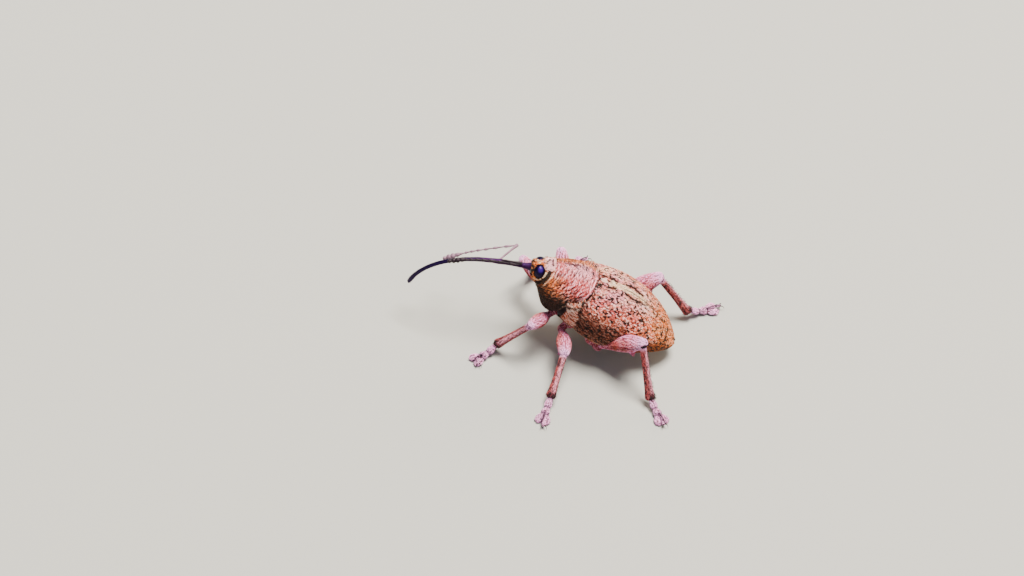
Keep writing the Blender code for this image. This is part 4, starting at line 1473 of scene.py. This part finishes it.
@dataclass
class Scutellum:
    """The small shield between the bases of the wing cases, covered in white scales."""

    half: tuple[float, float, float] = (0.125, 0.185, 0.15)

    def marks(self, at: Spots) -> Array:
        """White all over."""
        return marks_of(1 + 0 * at.share, 0.5, 0.0)

    def build(self) -> None:
        """Makes the plate and its coat."""
        # The poles lie at the plate's front and rear, so that the rows run along it
        width, length, depth = self.half
        grid = ball((0.0, STANCE.plate_y, STANCE.plate_top - STANCE.plate_sink), np.eye(3)[:, [2, 0, 1]],
                    (depth, width, length))
        patch = Patch(STANCE.body_points(grid[::-1]), self.marks)
        shell = sheet("scutellum", patch.points)
        mark_shell(shell, [patch])
        dress(shell, BODY_SHELL, "pale_plate", "scutellum")
        coat = Coat("coat_scutellum", [Growth(patch, 0.020, 0.09, 0.030)], SEED + 5).build()
        dress(coat, SCALES, "pale_plate")


# The head

@dataclass
class Snout:
    """The long polished snout: a slim tube that bends down along its length."""

    length: float = 6.35
    root_forward: float = 0.62
    root_up: float = 0.20
    rise: float = math.radians(5.0)
    bend: float = math.radians(78.0)
    feeler_place: float = 0.235
    radii: Shares = ((-0.06, 0.225), (-0.01, 0.215), (0.02, 0.170), (0.05, 0.140), (0.10, 0.126),
                     (0.18, 0.120), (0.235, 0.132), (0.29, 0.114), (0.6, 0.104), (0.88, 0.104),
                     (0.96, 0.118), (1.0, 0.105))

    def centre(self, shares: Array) -> Array:
        """The middle line at some shares of the length, in the head's frame.

        Args:
            shares: Shares of the length.

        Returns:
            One point for each share.
        """
        # Steps of a thousandth of the length, from a tenth of it before the root
        before = 100
        fine = np.linspace(-0.1, 1.0, 1001 + before)
        angle = self.rise - self.bend * np.maximum(fine, 0.0) ** 2
        step = np.stack([0 * fine, np.cos(angle), np.sin(angle)], -1) * self.length * (fine[1] - fine[0])
        path = np.cumsum(step, 0)
        path = path - path[before] + np.array([0.0, self.root_forward, self.root_up])
        return np.stack([np.interp(shares, fine, path[:, axis]) for axis in range(3)], -1)

    def marks(self, at: Spots) -> Array:
        """Black, with a red-brown cast below and in the stretch before the feelers."""
        warm = hump(0.28, 0.22, at.share) * (0.4 + 0.6 * ramp_up(-0.2, 0.9, -np.sin(at.around * 2 * np.pi)))
        return marks_of(0.9 * warm, 0.0, ramp_up(0.7, 1.0, at.share) * 0.6)

    def build(self) -> None:
        """Makes the tube with its fine ridges and its two jaws."""
        shares = np.linspace(-0.06, 1.0, 170)
        radii = follow(self.radii, shares)
        grid = tube(self.centre(shares), radii, 40, flat=0.94)
        angle = np.linspace(0, 2 * np.pi, 41)[None]
        strength = 0.006 * ramp_down(0.35, 0.5, shares)[:, None]
        core = self.centre(shares)[:, None]
        ripple = 1 + strength * np.cos(10 * angle) / radii[:, None]
        grid[3:-3] = core + (grid[3:-3] - core) * ripple[..., None]
        patch = Patch(STANCE.head_points(grid), self.marks)
        pieces = [sheet("snout", patch.points)]
        tip = self.centre(np.array([0.985, 1.0]))
        ahead = unit(tip[1] - tip[0])
        for side in (-1, 1):
            jaw = smooth_path([tip[1] + ahead * reach + (side * aside, 0, 0)
                               for reach, aside in ((0.0, 0.05), (0.05, 0.065), (0.11, 0.012))], 5)
            grid = tube(jaw, np.linspace(0.035, 0.008, len(jaw)), 10)
            pieces.append(sheet("jaw", STANCE.head_points(grid)))
        snout = join("snout", pieces)
        mark_shell(snout, [patch])
        dress(snout, SNOUT_SHELL, "snout", "snout")


@dataclass
class Head:
    """The round head with its two large flat eyes, which closes round the snout's root."""

    radius: float = 0.64
    # How far the front of the globe is drawn up to meet the snout
    front_rise: float = 0.17
    eye_direction: tuple[float, float, float] = (0.67, 0.37, 0.645)
    eye_length: float = 0.54
    eye_height: float = 0.66
    eye_bulge: float = 0.03
    eye_depth: float = 0.26
    solid_radius: float = 0.68
    # The depth of the bed that each eye lies in, and how far it reaches beyond the eye
    bed: float = 0.10
    bed_margin: float = 0.02
    # One lens of the eye: its half width as an angle, and its height as a share of the eye's half size
    lens_width: float = 0.055
    lens_height: float = 0.014
    # The straight neck behind the globe
    neck: float = 0.52
    neck_slope: float = 0.12
    # Painted lines, in the eye's own plane: millimetres forward and up from its middle
    # The bow and the streak are painted shade, in the gap where the head meets the pronotum
    bow: Shares = ((-0.47, 0.02), (-0.38, -0.17), (-0.27, -0.31), (-0.12, -0.42), (0.06, -0.50),
                   (0.22, -0.52))
    inner_line: Shares = ((-0.33, 0.0), (-0.285, -0.15), (-0.17, -0.29), (-0.03, -0.365), (0.12, -0.37),
                          (0.24, -0.29))
    outer_line: Shares = ((-0.30, -0.52), (-0.12, -0.62), (0.10, -0.66))
    streak: Shares = ((-0.48, 0.67), (-0.50, 0.50), (-0.555, 0.33))

    def eye_axes(self, side: Side) -> Array:
        """The eye's directions in the head's frame: along it, across it and outwards, one column each.

        Args:
            side: The eye's side.

        Returns:
            The three directions.
        """
        x, y, z = self.eye_direction
        outward = unit(np.array([x * side.value, y, z]))
        along = unit(np.array([0, 1.0, 0]) - outward * outward[1])
        return np.stack([along, np.cross(outward, along) * side.value, outward], -1)

    def eye_places(self, spots: Array) -> tuple[Array, Array, Array]:
        """Where places lie by the nearer eye.

        Args:
            spots: Places in the standing frame.

        Returns:
            How far out they lie, with 1 at the eye's edge, and the millimetres forward and up in its plane.
        """
        local = STANCE.in_head(spots)
        local = local * np.where(local[:, :1] < 0, np.array([-1.0, 1.0, 1.0]), 1.0)
        forward, up, outward = (local @ self.eye_axes(Side.LEFT)).T
        ring = np.hypot(forward / (self.eye_length / 2), up / (self.eye_height / 2))
        return np.where(outward > 0, ring, 9.0), forward, up

    def marks(self, at: Spots) -> Array:
        """A black bow of painted shade and a cream line behind the eye, white-lilac behind those, rust on
        crown and throat.

        Args:
            at: Places on the patch.

        Returns:
            Pale, rose, dark and a tone for each place.
        """
        wisps, blotch, speck = at.streaks(0.035, 0.05), at.mottle(0.22), at.mottle(0.07)
        ring, forward, up = self.eye_places(at.places)
        local = STANCE.in_head(at.places)
        near = np.where(ring < 8, 1.0, 0.0)
        # Painted shade: the black bow along the gap to the pronotum
        bow = ribbon(self.bow, 0.085, forward, up) * near
        inner = ribbon(self.inner_line, 0.027, forward, up) * near * ramp_up(0.30, 0.42, speck)
        outer = ribbon(self.outer_line, 0.036, forward, up) * near
        ragged = 0.35 * (blotch - 0.5) + 0.18 * (speck - 0.5)
        behind = ramp_up(0.14, 0.26, ragged - forward) * ramp_up(0.02, 0.20, up + ragged) * near
        dot = 0.9 * hump(-0.62, 0.04, forward) * hump(0.07, 0.04, up)
        # Painted shade: the dark streak where the head meets the pronotum
        line = np.maximum(ribbon(self.streak, 0.035, forward, up), dot)
        crown = ramp_up(0.20, 0.40, up) * (1 - behind)
        pale = np.maximum.reduce([inner, 0.9 * outer, behind * (0.65 + 0.35 * ramp_up(0.3, 0.6, wisps)),
                                  ramp_up(0.60, 0.85, wisps) * (0.45 + 0.4 * crown)])
        rose = behind * (0.5 + 0.5 * blotch)
        snout_root = ramp_up(0.47, 0.55, local[:, 1] + 0.25 * (speck - 0.5))
        throat = ramp_down(-0.30, 0.0, local[:, 2]) * 0.6
        socket = ramp_down(1.06, 1.14, ring) * (1 - inner) * ramp_down(0.1, 0.2, up)
        dark = np.maximum.reduce([1.3 * bow, snout_root, socket, line * near]) + throat
        dark += 0.8 * ramp_down(0.16, 0.34, wisps) * (1 - 0.4 * behind) + ramp_up(0.70, 0.78, speck) * 0.8
        bright = np.maximum(inner, outer)
        return marks_of(pale * (1 - bow) * (1 - line), rose, dark * (1 - 0.95 * bright))

    def patch(self) -> Patch:
        """The head's surface, rows from the snout's root to the neck, with a shallow bed for each eye.

        Returns:
            The patch.
        """
        globe = np.linspace(0.10, np.pi / 2, 62)
        forward = np.concatenate([self.radius * np.cos(globe), -self.neck * np.linspace(0, 1, 30)[1:]])
        radius = np.concatenate([self.radius * np.sin(globe), np.full(29, self.radius)])
        height = self.front_rise * ramp_up(0.15, 0.62, forward) - self.neck_slope * np.minimum(forward, 0)
        angle = np.linspace(0, 2 * np.pi, 121)[None]
        points = np.stack([radius[:, None] * np.cos(angle), forward[:, None] + 0 * angle,
                           height[:, None] + radius[:, None] * np.sin(angle)], -1)
        for side in Side:
            axes = self.eye_axes(side)
            local = points @ axes
            ring = np.hypot(local[..., 0] / (self.eye_length / 2 + self.bed_margin),
                            local[..., 1] / (self.eye_height / 2 + self.bed_margin))
            sink = self.bed * ramp_down(0.78, 1.06, ring) * (local[..., 2] > 0)
            points = points - axes[:, 2] * sink[..., None]
        return Patch(STANCE.head_points(points), self.marks)

    def keep(self, at: Spots) -> Array:
        """No scale grows on an eye or the snout's root, and few on the bare neck.

        Args:
            at: Places on the patch.

        Returns:
            One chance for each place.
        """
        local = STANCE.in_head(at.places)
        open_face = (self.eye_places(at.places)[0] > 1.04) & (local[:, 1] < 0.585)
        return open_face * (1 - 0.95 * ramp_up(0.46, 0.50, -local[:, 1]))

    def eye(self, side: Side) -> None:
        """Makes one eye: an oval dome of small round lenses in a hexagonal array.

        Args:
            side: The eye's side.
        """
        deselect()
        bpy.ops.mesh.primitive_ico_sphere_add(subdivisions=4, radius=1.0)
        # The points of a coarser ball are the middles of the lenses
        coarse = bpy.context.object
        centres = places_of(coarse.data)
        bpy.data.objects.remove(coarse)
        bpy.ops.mesh.primitive_ico_sphere_add(subdivisions=6, radius=1.0)
        eye = bpy.context.object
        eye.name = eye.data.name = "eye_" + side.word
        co = places_of(eye.data)
        near = np.concatenate([(chunk @ centres.T).max(1) for chunk in np.array_split(co, 40)])
        off = np.arccos(np.clip(near, -1, 1)) / self.lens_width
        dome = self.lens_height * (1 - np.minimum(off, 1.0) ** 2)
        # The violet is a painted reflection of the light: it lies on the left side of both eyes, where the
        # light falls
        reflection_centre = unit(np.array([-0.42, 0.30 * side.value, 0.85]))
        violet = ramp_up(0.80, 1.0, co @ reflection_centre)
        axes = self.eye_axes(side)
        radii = np.array([self.eye_length / 2, self.eye_height / 2, self.eye_depth])
        place = axes[:, 2] * (self.solid_radius + self.eye_bulge - self.eye_depth)
        co = STANCE.head_points((co * (1 + dome)[:, None] * radii) @ axes.T + place)
        eye.data.vertices.foreach_set("co", ((co + SHIFT) * MM).ravel())
        paint(eye.data, np.stack([violet, 0 * violet, 0 * violet, 1 + 0 * violet], -1))
        eye.data.update()
        tidy(eye)
        dress(eye, EyeFinish(), "eye", "eye_" + side.word)

    def build(self) -> None:
        """Makes head, eyes and the head's coat."""
        patch = self.patch()
        shell = sheet("head", patch.points)
        mark_shell(shell, [patch])
        dress(shell, BODY_SHELL, "scaled_shell", "head")
        growth = Growth(patch, 0.0235, 0.095, 0.026, keep=self.keep, lift=0.010)
        dress(Coat("coat_head", [growth], SEED + 6).build(), SCALES, "scaled_shell")
        for side in Side:
            self.eye(side)


@dataclass
class Feeler:
    """One elbowed feeler: a straight scape, a whip of small joints and a club of four."""

    side: Side
    snout: Snout
    scape_width: float = 0.12
    whip_width: float = 0.10
    club_width: float = 0.25
    right_points: tuple[tuple[float, float, float], ...] = (
        (-1.22, 1.30, 0.23), (-1.20, 2.10, -0.05), (-1.13, 3.24, -0.45), (-1.06, 3.88, -0.71),
        (-0.95, 4.63, -1.05))
    # The left one is folded along the snout: the sides that scape and whip lie on, from left to top
    scape_angle: float = math.radians(72.0)
    whip_angle: float = math.radians(42.0)
    joint_ends: tuple[float, ...] = (0.0, 0.17, 0.32, 0.44, 0.54, 0.625, 0.70, 0.765, 0.83, 0.885, 0.94, 1.0)
    club_shares: tuple[float, ...] = (0.8, 1.0, 1.0, 0.75)

    def beside(self, share: float, angle: float) -> Array:
        """A point close beside the snout in the head's frame.

        Args:
            share: A share of the snout's length.
            angle: The way round it, in radians.

        Returns:
            The point.
        """
        reach = float(follow(self.snout.radii, np.array([share]))[0]) + self.scape_width * 0.55
        aside = np.array([math.cos(angle), 0, math.sin(angle)])
        return self.snout.centre(np.array([share]))[0] + aside * reach

    def paths(self) -> tuple[Array, Array]:
        """The middle lines of scape and whip, in the head's frame.

        Returns:
            The points of both lines.
        """
        root = self.snout.centre(np.array([self.snout.feeler_place]))[0]
        if self.side is Side.RIGHT:
            points = [root + (-0.08, 0, 0)] + [np.array(point) for point in self.right_points]
            return smooth_path(points[:2], 10), smooth_path(points[1:], 10)
        scape = [self.beside(share, self.scape_angle) for share in np.linspace(0.20, 0.07, 5)]
        scape = [root + (0.08, 0, 0)] + scape
        whip = [scape[-1]] + [self.beside(share, self.whip_angle) for share in np.linspace(0.10, 0.62, 12)]
        return smooth_path(scape, 3), smooth_path(whip, 4)

    def build(self) -> None:
        """Makes the feeler joint by joint."""
        scape, whip = self.paths()
        radii = follow(((0.0, 0.4), (0.6, 0.42), (0.85, 0.6), (1.0, 0.75)), np.linspace(0, 1, len(scape)))
        pieces = [sheet("scape", STANCE.head_points(tube(scape, radii * self.scape_width, 14)))]
        run = np.concatenate([[0.0], np.cumsum(np.linalg.norm(np.diff(whip, axis=0), axis=1))])
        run /= run[-1]
        first_club = len(self.joint_ends) - 1 - len(self.club_shares)
        for index, (start, end) in enumerate(zip(self.joint_ends, self.joint_ends[1:])):
            shares = np.linspace(start + 0.004, end - 0.004, 9)
            line = np.stack([np.interp(shares, run, whip[:, axis]) for axis in range(3)], -1)
            shape, width = ((0.0, 0.30), (0.5, 0.40), (0.85, 0.66), (1.0, 0.5)), self.whip_width
            if index >= first_club:
                last = index == len(self.joint_ends) - 2
                shape = ((0.0, 0.34), (0.4, 0.5), (0.8, 0.5), (1.0, 0.30 if last else 0.42))
                width = self.club_width * self.club_shares[index - first_club]
            radii = follow(shape, np.linspace(0, 1, 9)) * width
            pieces.append(sheet("joint", STANCE.head_points(tube(line, radii, 14))))
        feeler = join("feeler_" + self.side.word, pieces)
        # The right feeler is painted pale, partly a painted highlight; the left one, folded on the snout, is
        # painted dark
        pale, dark = (0.0, 0.85) if self.side is Side.LEFT else (0.6, 0.0)
        paint(feeler.data, np.tile([pale, 0.0, dark, 1.0], len(feeler.data.vertices)))
        dress(feeler, FEELER_SHELL, "feeler", "feeler_" + self.side.word)


# The legs

@dataclass
class Leg:
    """One leg: round coxa, clubbed and toothed femur, slim tibia, three pale joints and two claws."""

    name: str
    side: Side
    coxa: tuple[float, float, float]
    coxa_radius: float
    femur_width: float
    joints: tuple[tuple[float, float, float], ...]
    seed: int
    femur: Shares = ((0.0, 0.28), (0.12, 0.34), (0.30, 0.62), (0.50, 0.92), (0.66, 1.0), (0.80, 0.92),
                     (0.92, 0.76), (1.0, 0.60))
    tibia: Shares = ((0.0, 0.110), (0.06, 0.135), (0.2, 0.140), (0.6, 0.150), (0.85, 0.180), (1.0, 0.222))
    tooth_place: float = 0.72
    tooth_reach: float = 0.24
    # How far the femur and the tibia bow
    femur_bow: float = 0.06
    tibia_bow: float = 0.05

    def femur_marks(self, at: Spots) -> Array:
        """Pink with a rust heart on each face and a black end round the tibia's root; the pale edges round
        the heart are partly a painted rim light.

        Args:
            at: Places on the patch.

        Returns:
            Pale, rose, dark and a tone for each place.
        """
        share, turn = at.share, at.around * 2 * np.pi
        wisps, blotch = at.streaks(0.035, 0.05), at.mottle(0.22)
        heart = ramp_up(0.35, 1.0, np.abs(np.cos(turn))) * hump(0.52, 0.26, share) * (0.5 + blotch)
        # The pale edges round the heart are partly a painted rim light
        pale = ramp_up(0.40, 0.78, wisps) * (0.90 - 0.75 * heart) + 0.30 * hump(0.86, 0.06, share)
        notch = ramp_up(0.915, 0.935, share) * ramp_up(0.1, 0.4, np.sin(turn))
        rim = hump(0.905, 0.02, share) + ramp_up(0.90, 0.94, share)
        dark = notch + 0.75 * ramp_down(0.14, 0.34, wisps) + 0.25 * heart * blotch
        return marks_of(np.maximum(pale, rim) * (1 - notch), 1 - 0.85 * heart, dark)

    def tibia_marks(self, at: Spots) -> Array:
        """White at the knee, then dark red with pale edges that are partly a painted rim light, rows of
        specks and a black heel.

        Args:
            at: Places on the patch.

        Returns:
            Pale, rose, dark and a tone for each place.
        """
        share, turn = at.share, at.around * 2 * np.pi
        wisps, speck = at.streaks(0.035, 0.05), ramp_up(0.58, 0.72, at.mottle(0.085))
        root = ramp_down(0.10, 0.20, share)
        face = ramp_up(0.25, 0.85, np.abs(np.cos(turn)))
        heel = hump(0.92, 0.05, share) * ramp_up(0.3, 0.9, np.sin(turn))
        # The pale edges between the faces are partly a painted rim light
        pale = np.maximum(root, (1 - face) * 0.50 + 0.25 * ramp_up(0.6, 0.85, wisps))
        dark = (0.30 + 0.6 * speck) * face * (1 - root) + 0.7 * ramp_down(0.16, 0.36, wisps) + 0.8 * heel
        return marks_of(pale * (1 - heel), 0.28 + 0.6 * root + 0.3 * (1 - face), dark * (1 - 0.8 * root))

    def hip_marks(self, at: Spots) -> Array:
        """Dusky pink."""
        wisps = at.streaks(0.04, 0.06)
        return marks_of(0.6 * ramp_up(0.5, 0.8, wisps), 0.6, 0.25 + 0.6 * ramp_down(0.2, 0.45, wisps))

    def bristle_marks(self, at: Spots) -> Array:
        """Black all over."""
        return marks_of(0.0, 0.0, 1 + 0 * at.share)

    def bristle_keep(self, at: Spots) -> Array:
        """Bristles stand along the tibia's inner ridge, densest at its end."""
        inner = np.sin(at.around * 2 * np.pi) > 0.70
        return inner * (0.18 + 0.82 * ramp_up(0.86, 0.93, at.share)) * (at.share < 0.96)

    def build(self) -> list[bpy.types.Object]:
        """Makes the leg's shell and coat.

        Returns:
            Its bare horny bits, to be joined with those of the other legs.
        """
        hip, knee, ankle, sole, claws = (np.array(joint) for joint in self.joints)
        coxa = STANCE.body_points(np.array(self.coxa) * (self.side.value, 1, 1))
        along = unit(knee - hip)
        inward = unit((ankle - knee) - along * ((ankle - knee) @ along))
        hip_ball = ball(coxa, axes_from(hip - coxa), (self.coxa_radius * 0.92,) * 3, 20, 28)
        patches = [Patch(hip_ball, self.hip_marks, tile=bake_tile(0, 3))]
        trochanter = smooth_path([coxa + (hip - coxa) * 0.3, hip, hip + along * 0.1], 4)
        patches.append(Patch(tube(trochanter, np.full(len(trochanter), self.femur_width * 0.17 + 0.04), 24),
                             self.hip_marks, tile=bake_tile(1, 3)))
        share = np.linspace(0, 1, 48)
        swing = np.sin(np.pi * share)[:, None]
        thigh = hip + (knee - hip) * share[:, None] - inward * (self.femur_bow * swing)
        femur = tube(thigh, follow(self.femur, share) * self.femur_width / 2, 48, flat=0.90, up=inward)
        femur = self.toothed(femur, thigh, along, inward)
        patches.append(Patch(femur, self.femur_marks, tile=bake_tile(2, 3)))

        shin = knee - along * 0.05 + (ankle - knee) * share[:, None] - inward * self.tibia_bow * swing
        tibia = tube(shin, follow(self.tibia, share), 32, up=along)
        tibia = Patch(tibia, self.tibia_marks, tile=bake_tile(3, 3))
        patches.append(tibia)
        foot_patches, horn = self.foot(ankle, sole, claws)
        patches.extend(foot_patches)
        knee_radii = (self.femur_width * 0.21,) * 3
        knee_ball = ball(knee - along * 0.03 + inward * 0.06, axes_from(along), knee_radii, 14, 18)
        horn.append(sheet("knee", knee_ball))
        horn.append(self.spur(shin, along))

        shell = join("leg_" + self.name, [sheet("piece", patch.points) for patch in patches])
        mark_shell(shell, patches)
        dress(shell, LEG_SHELL, "leg", "leg_" + self.name)
        growths = [Growth(patch, 0.0306, 0.092, 0.031, lift=0.009, sway=0.2) for patch in patches]
        growths.append(Growth(tibia, 0.040, 0.13, 0.018, lift=0.050, sway=0.3, keep=self.bristle_keep,
                              marks=self.bristle_marks))
        dress(Coat("coat_leg_" + self.name, growths, SEED + self.seed).build(), LEG_SCALES, "leg")
        return horn

    def toothed(self, grid: Array, path: Array, along: Array, inward: Array) -> Array:
        """Draws the femur's surface out into its tooth.

        Args:
            grid: The femur's grid.
            path: Its middle line.
            along: Its direction.
            inward: The way that the tooth points.

        Returns:
            The grid with the tooth.
        """
        spots = grid - path[0]
        place = (spots @ along) / np.linalg.norm(path[-1] - path[0])
        side = spots @ np.cross(along, inward)
        toward = (spots @ inward) > 0
        pull = self.tooth_reach * hump(self.tooth_place, 0.045, place) * hump(0.0, 0.10, side) * toward
        return grid + inward * pull[..., None] + along * (0.05 * pull)[..., None]

    def spur(self, shin: Array, along: Array) -> bpy.types.Object:
        """Makes the small hook at the tibia's inner end.

        Args:
            shin: The tibia's middle line.
            along: The femur's direction.

        Returns:
            The hook.
        """
        down = unit(shin[-1] - shin[-4])
        inner = unit(along - down * (along @ down)) * -1.0
        root = shin[-1] - down * 0.03 + inner * 0.15
        path = smooth_path([root, root + down * 0.08 + inner * 0.05, root + down * 0.10 + inner * 0.14], 5)
        return sheet("spur", tube(path, np.linspace(0.045, 0.006, len(path)), 10))

    def foot(self, ankle: Array, sole: Array, claws: Array) -> tuple[list[Patch], list[bpy.types.Object]]:
        """Makes the foot's joints: two small cones, a two-lobed pad and the claw joint.

        Args:
            ankle: Where the foot starts.
            sole: The middle of the two lobes.
            claws: Where the claws part.

        Returns:
            Patches of the foot, and the two claws as objects.
        """
        first, second = ankle + (sole - ankle) * 0.42, ankle + (sole - ankle) * 0.72
        first[2], second[2] = 0.24, 0.17
        heading = unit((sole - ankle) * (1, 1, 0))
        aside = np.array([-heading[1], heading[0], 0.0])

        def marks(at: Spots) -> Array:
            """White-lilac, with a violet-black root to each joint and a dark cleft between the lobes.

            Args:
                at: Places on the patch.

            Returns:
                Pale, rose, dark and a tone for each place.
            """
            wisps, lobes = at.streaks(0.035, 0.04), ramp_up(-0.10, 0.05, (at.places - second) @ heading)
            cleft = hump(0.0, 0.040, (at.places - sole) @ aside) * lobes
            dark = ramp_down(0.16, 0.30, at.share) + cleft + 0.8 * ramp_down(0.20, 0.38, wisps)
            return marks_of(0.65 + 0.4 * wisps, 1.0, dark)

        def add_joint(grid: Array) -> None:
            """Adds a joint with the next square of the bake map."""
            patches.append(Patch(grid, marks, tile=bake_tile(4 + len(patches), 3)))

        patches = []
        for start, end, narrow, wide in ((ankle, first, 0.09, 0.165), (first, second, 0.09, 0.19)):
            line = start + (end - start) * np.linspace(0.04, 0.97, 12)[:, None]
            table = ((0.0, narrow), (0.45, narrow * 0.4 + wide * 0.6), (0.85, wide), (1.0, wide * 0.7))
            add_joint(tube(line, follow(table, np.linspace(0, 1, 12)), 24, flat=0.72))
        for side in (-1, 1):
            way = unit(heading + aside * side * 0.32)
            start = second + heading * 0.04 + aside * side * 0.05
            end = sole + heading * 0.20 + aside * side * 0.20
            start[2], end[2] = 0.15, 0.10
            line = smooth_path([start, (start + end) / 2 + aside * side * 0.035, end - way * 0.02], 6)
            radii = follow(((0.0, 0.07), (0.35, 0.14), (0.7, 0.170), (0.92, 0.14), (1.0, 0.09)),
                           np.linspace(0, 1, len(line)))
            add_joint(tube(line, radii, 24, flat=0.56))
        forward = unit((claws - sole) * (1, 1, 0))
        line = smooth_path([second + (0, 0, 0.04), sole + (0, 0, 0.13), claws + (0, 0, 0.08)], 7)
        radii = follow(((0.0, 0.04), (0.5, 0.045), (0.9, 0.065), (1.0, 0.05)), np.linspace(0, 1, len(line)))
        add_joint(tube(line, radii, 16))
        across = np.array([-forward[1], forward[0], 0.0])
        hooks = []
        for side in (-1, 1):
            path = smooth_path([claws + (0, 0, height) + (forward + across * side * spread) * reach
                                for height, spread, reach in ((0.08, 0.9, 0.0), (0.10, 0.9, 0.09),
                                                              (0.06, 0.8, 0.17), (-0.07, 0.75, 0.20))], 5)
            radii = np.linspace(0.030, 0.004, len(path))
            hooks.append(sheet("claw", tube(path, radii, 10)))
        return patches, hooks


# The coxa's place in the body's frame, its radius and the femur's width
FRONT, MIDDLE, HIND = (((0.40, -1.02, 0.40), 0.38, 0.62), ((0.66, -0.10, 0.26), 0.36, 0.68),
                       ((1.08, 1.15, 0.34), 0.38, 0.86))
# Each leg's hip, knee, ankle, sole and claws in the standing frame
LEGS = (
    Leg("front_left", Side.LEFT, *FRONT, (
        (0.50, -2.12, 1.55), (2.19, -2.97, 2.20), (2.25, -4.31, 0.55), (3.11, -5.12, 0.15),
        (3.38, -5.02, 0.12)), 11),
    Leg("middle_left", Side.LEFT, *MIDDLE, (
        (0.92, -1.51, 1.10), (2.92, -1.15, 1.60), (4.72, -1.35, 0.50), (5.91, -1.50, 0.15),
        (6.32, -1.42, 0.12)), 12),
    Leg("hind_left", Side.LEFT, *HIND, (
        (1.45, 0.30, 0.95), (2.20, 2.38, 2.62), (3.49, 3.25, 0.50), (4.40, 3.94, 0.15),
        (4.68, 4.10, 0.12)), 13),
    Leg("front_right", Side.RIGHT, *FRONT, (
        (-0.50, -2.12, 1.60), (-1.85, -3.99, 2.25), (-2.95, -3.35, 0.50), (-3.70, -2.95, 0.15),
        (-4.03, -2.80, 0.12)), 14),
    Leg("middle_right", Side.RIGHT, *MIDDLE, (
        (-0.92, -1.45, 1.10), (-2.75, -2.29, 2.40), (-3.60, -1.80, 0.50), (-4.37, -1.24, 0.15),
        (-4.62, -1.00, 0.12)), 15),
    Leg("hind_right", Side.RIGHT, *HIND, (
        (-1.45, 0.45, 0.95), (-2.30, 2.55, 2.50), (-2.42, 4.19, 0.50), (-3.17, 5.31, 0.15),
        (-3.40, 5.62, 0.12)), 16),
)


def main() -> None:
    """Builds the weevil part by part, then the studio."""
    logging.basicConfig(level=logging.INFO, format="%(message)s")
    for side in Side:
        Elytron(side).build()
    Pronotum().build()
    Underside().build()
    Scutellum().build()
    Head().build()
    snout = Snout()
    snout.build()
    for side in Side:
        Feeler(side, snout).build()
    horn = [piece for leg in LEGS for piece in leg.build()]
    dress(join("claws_and_knees", horn), CLAW_HORN, "leg")
    Studio().build()


if __name__ == "__main__":
    main()
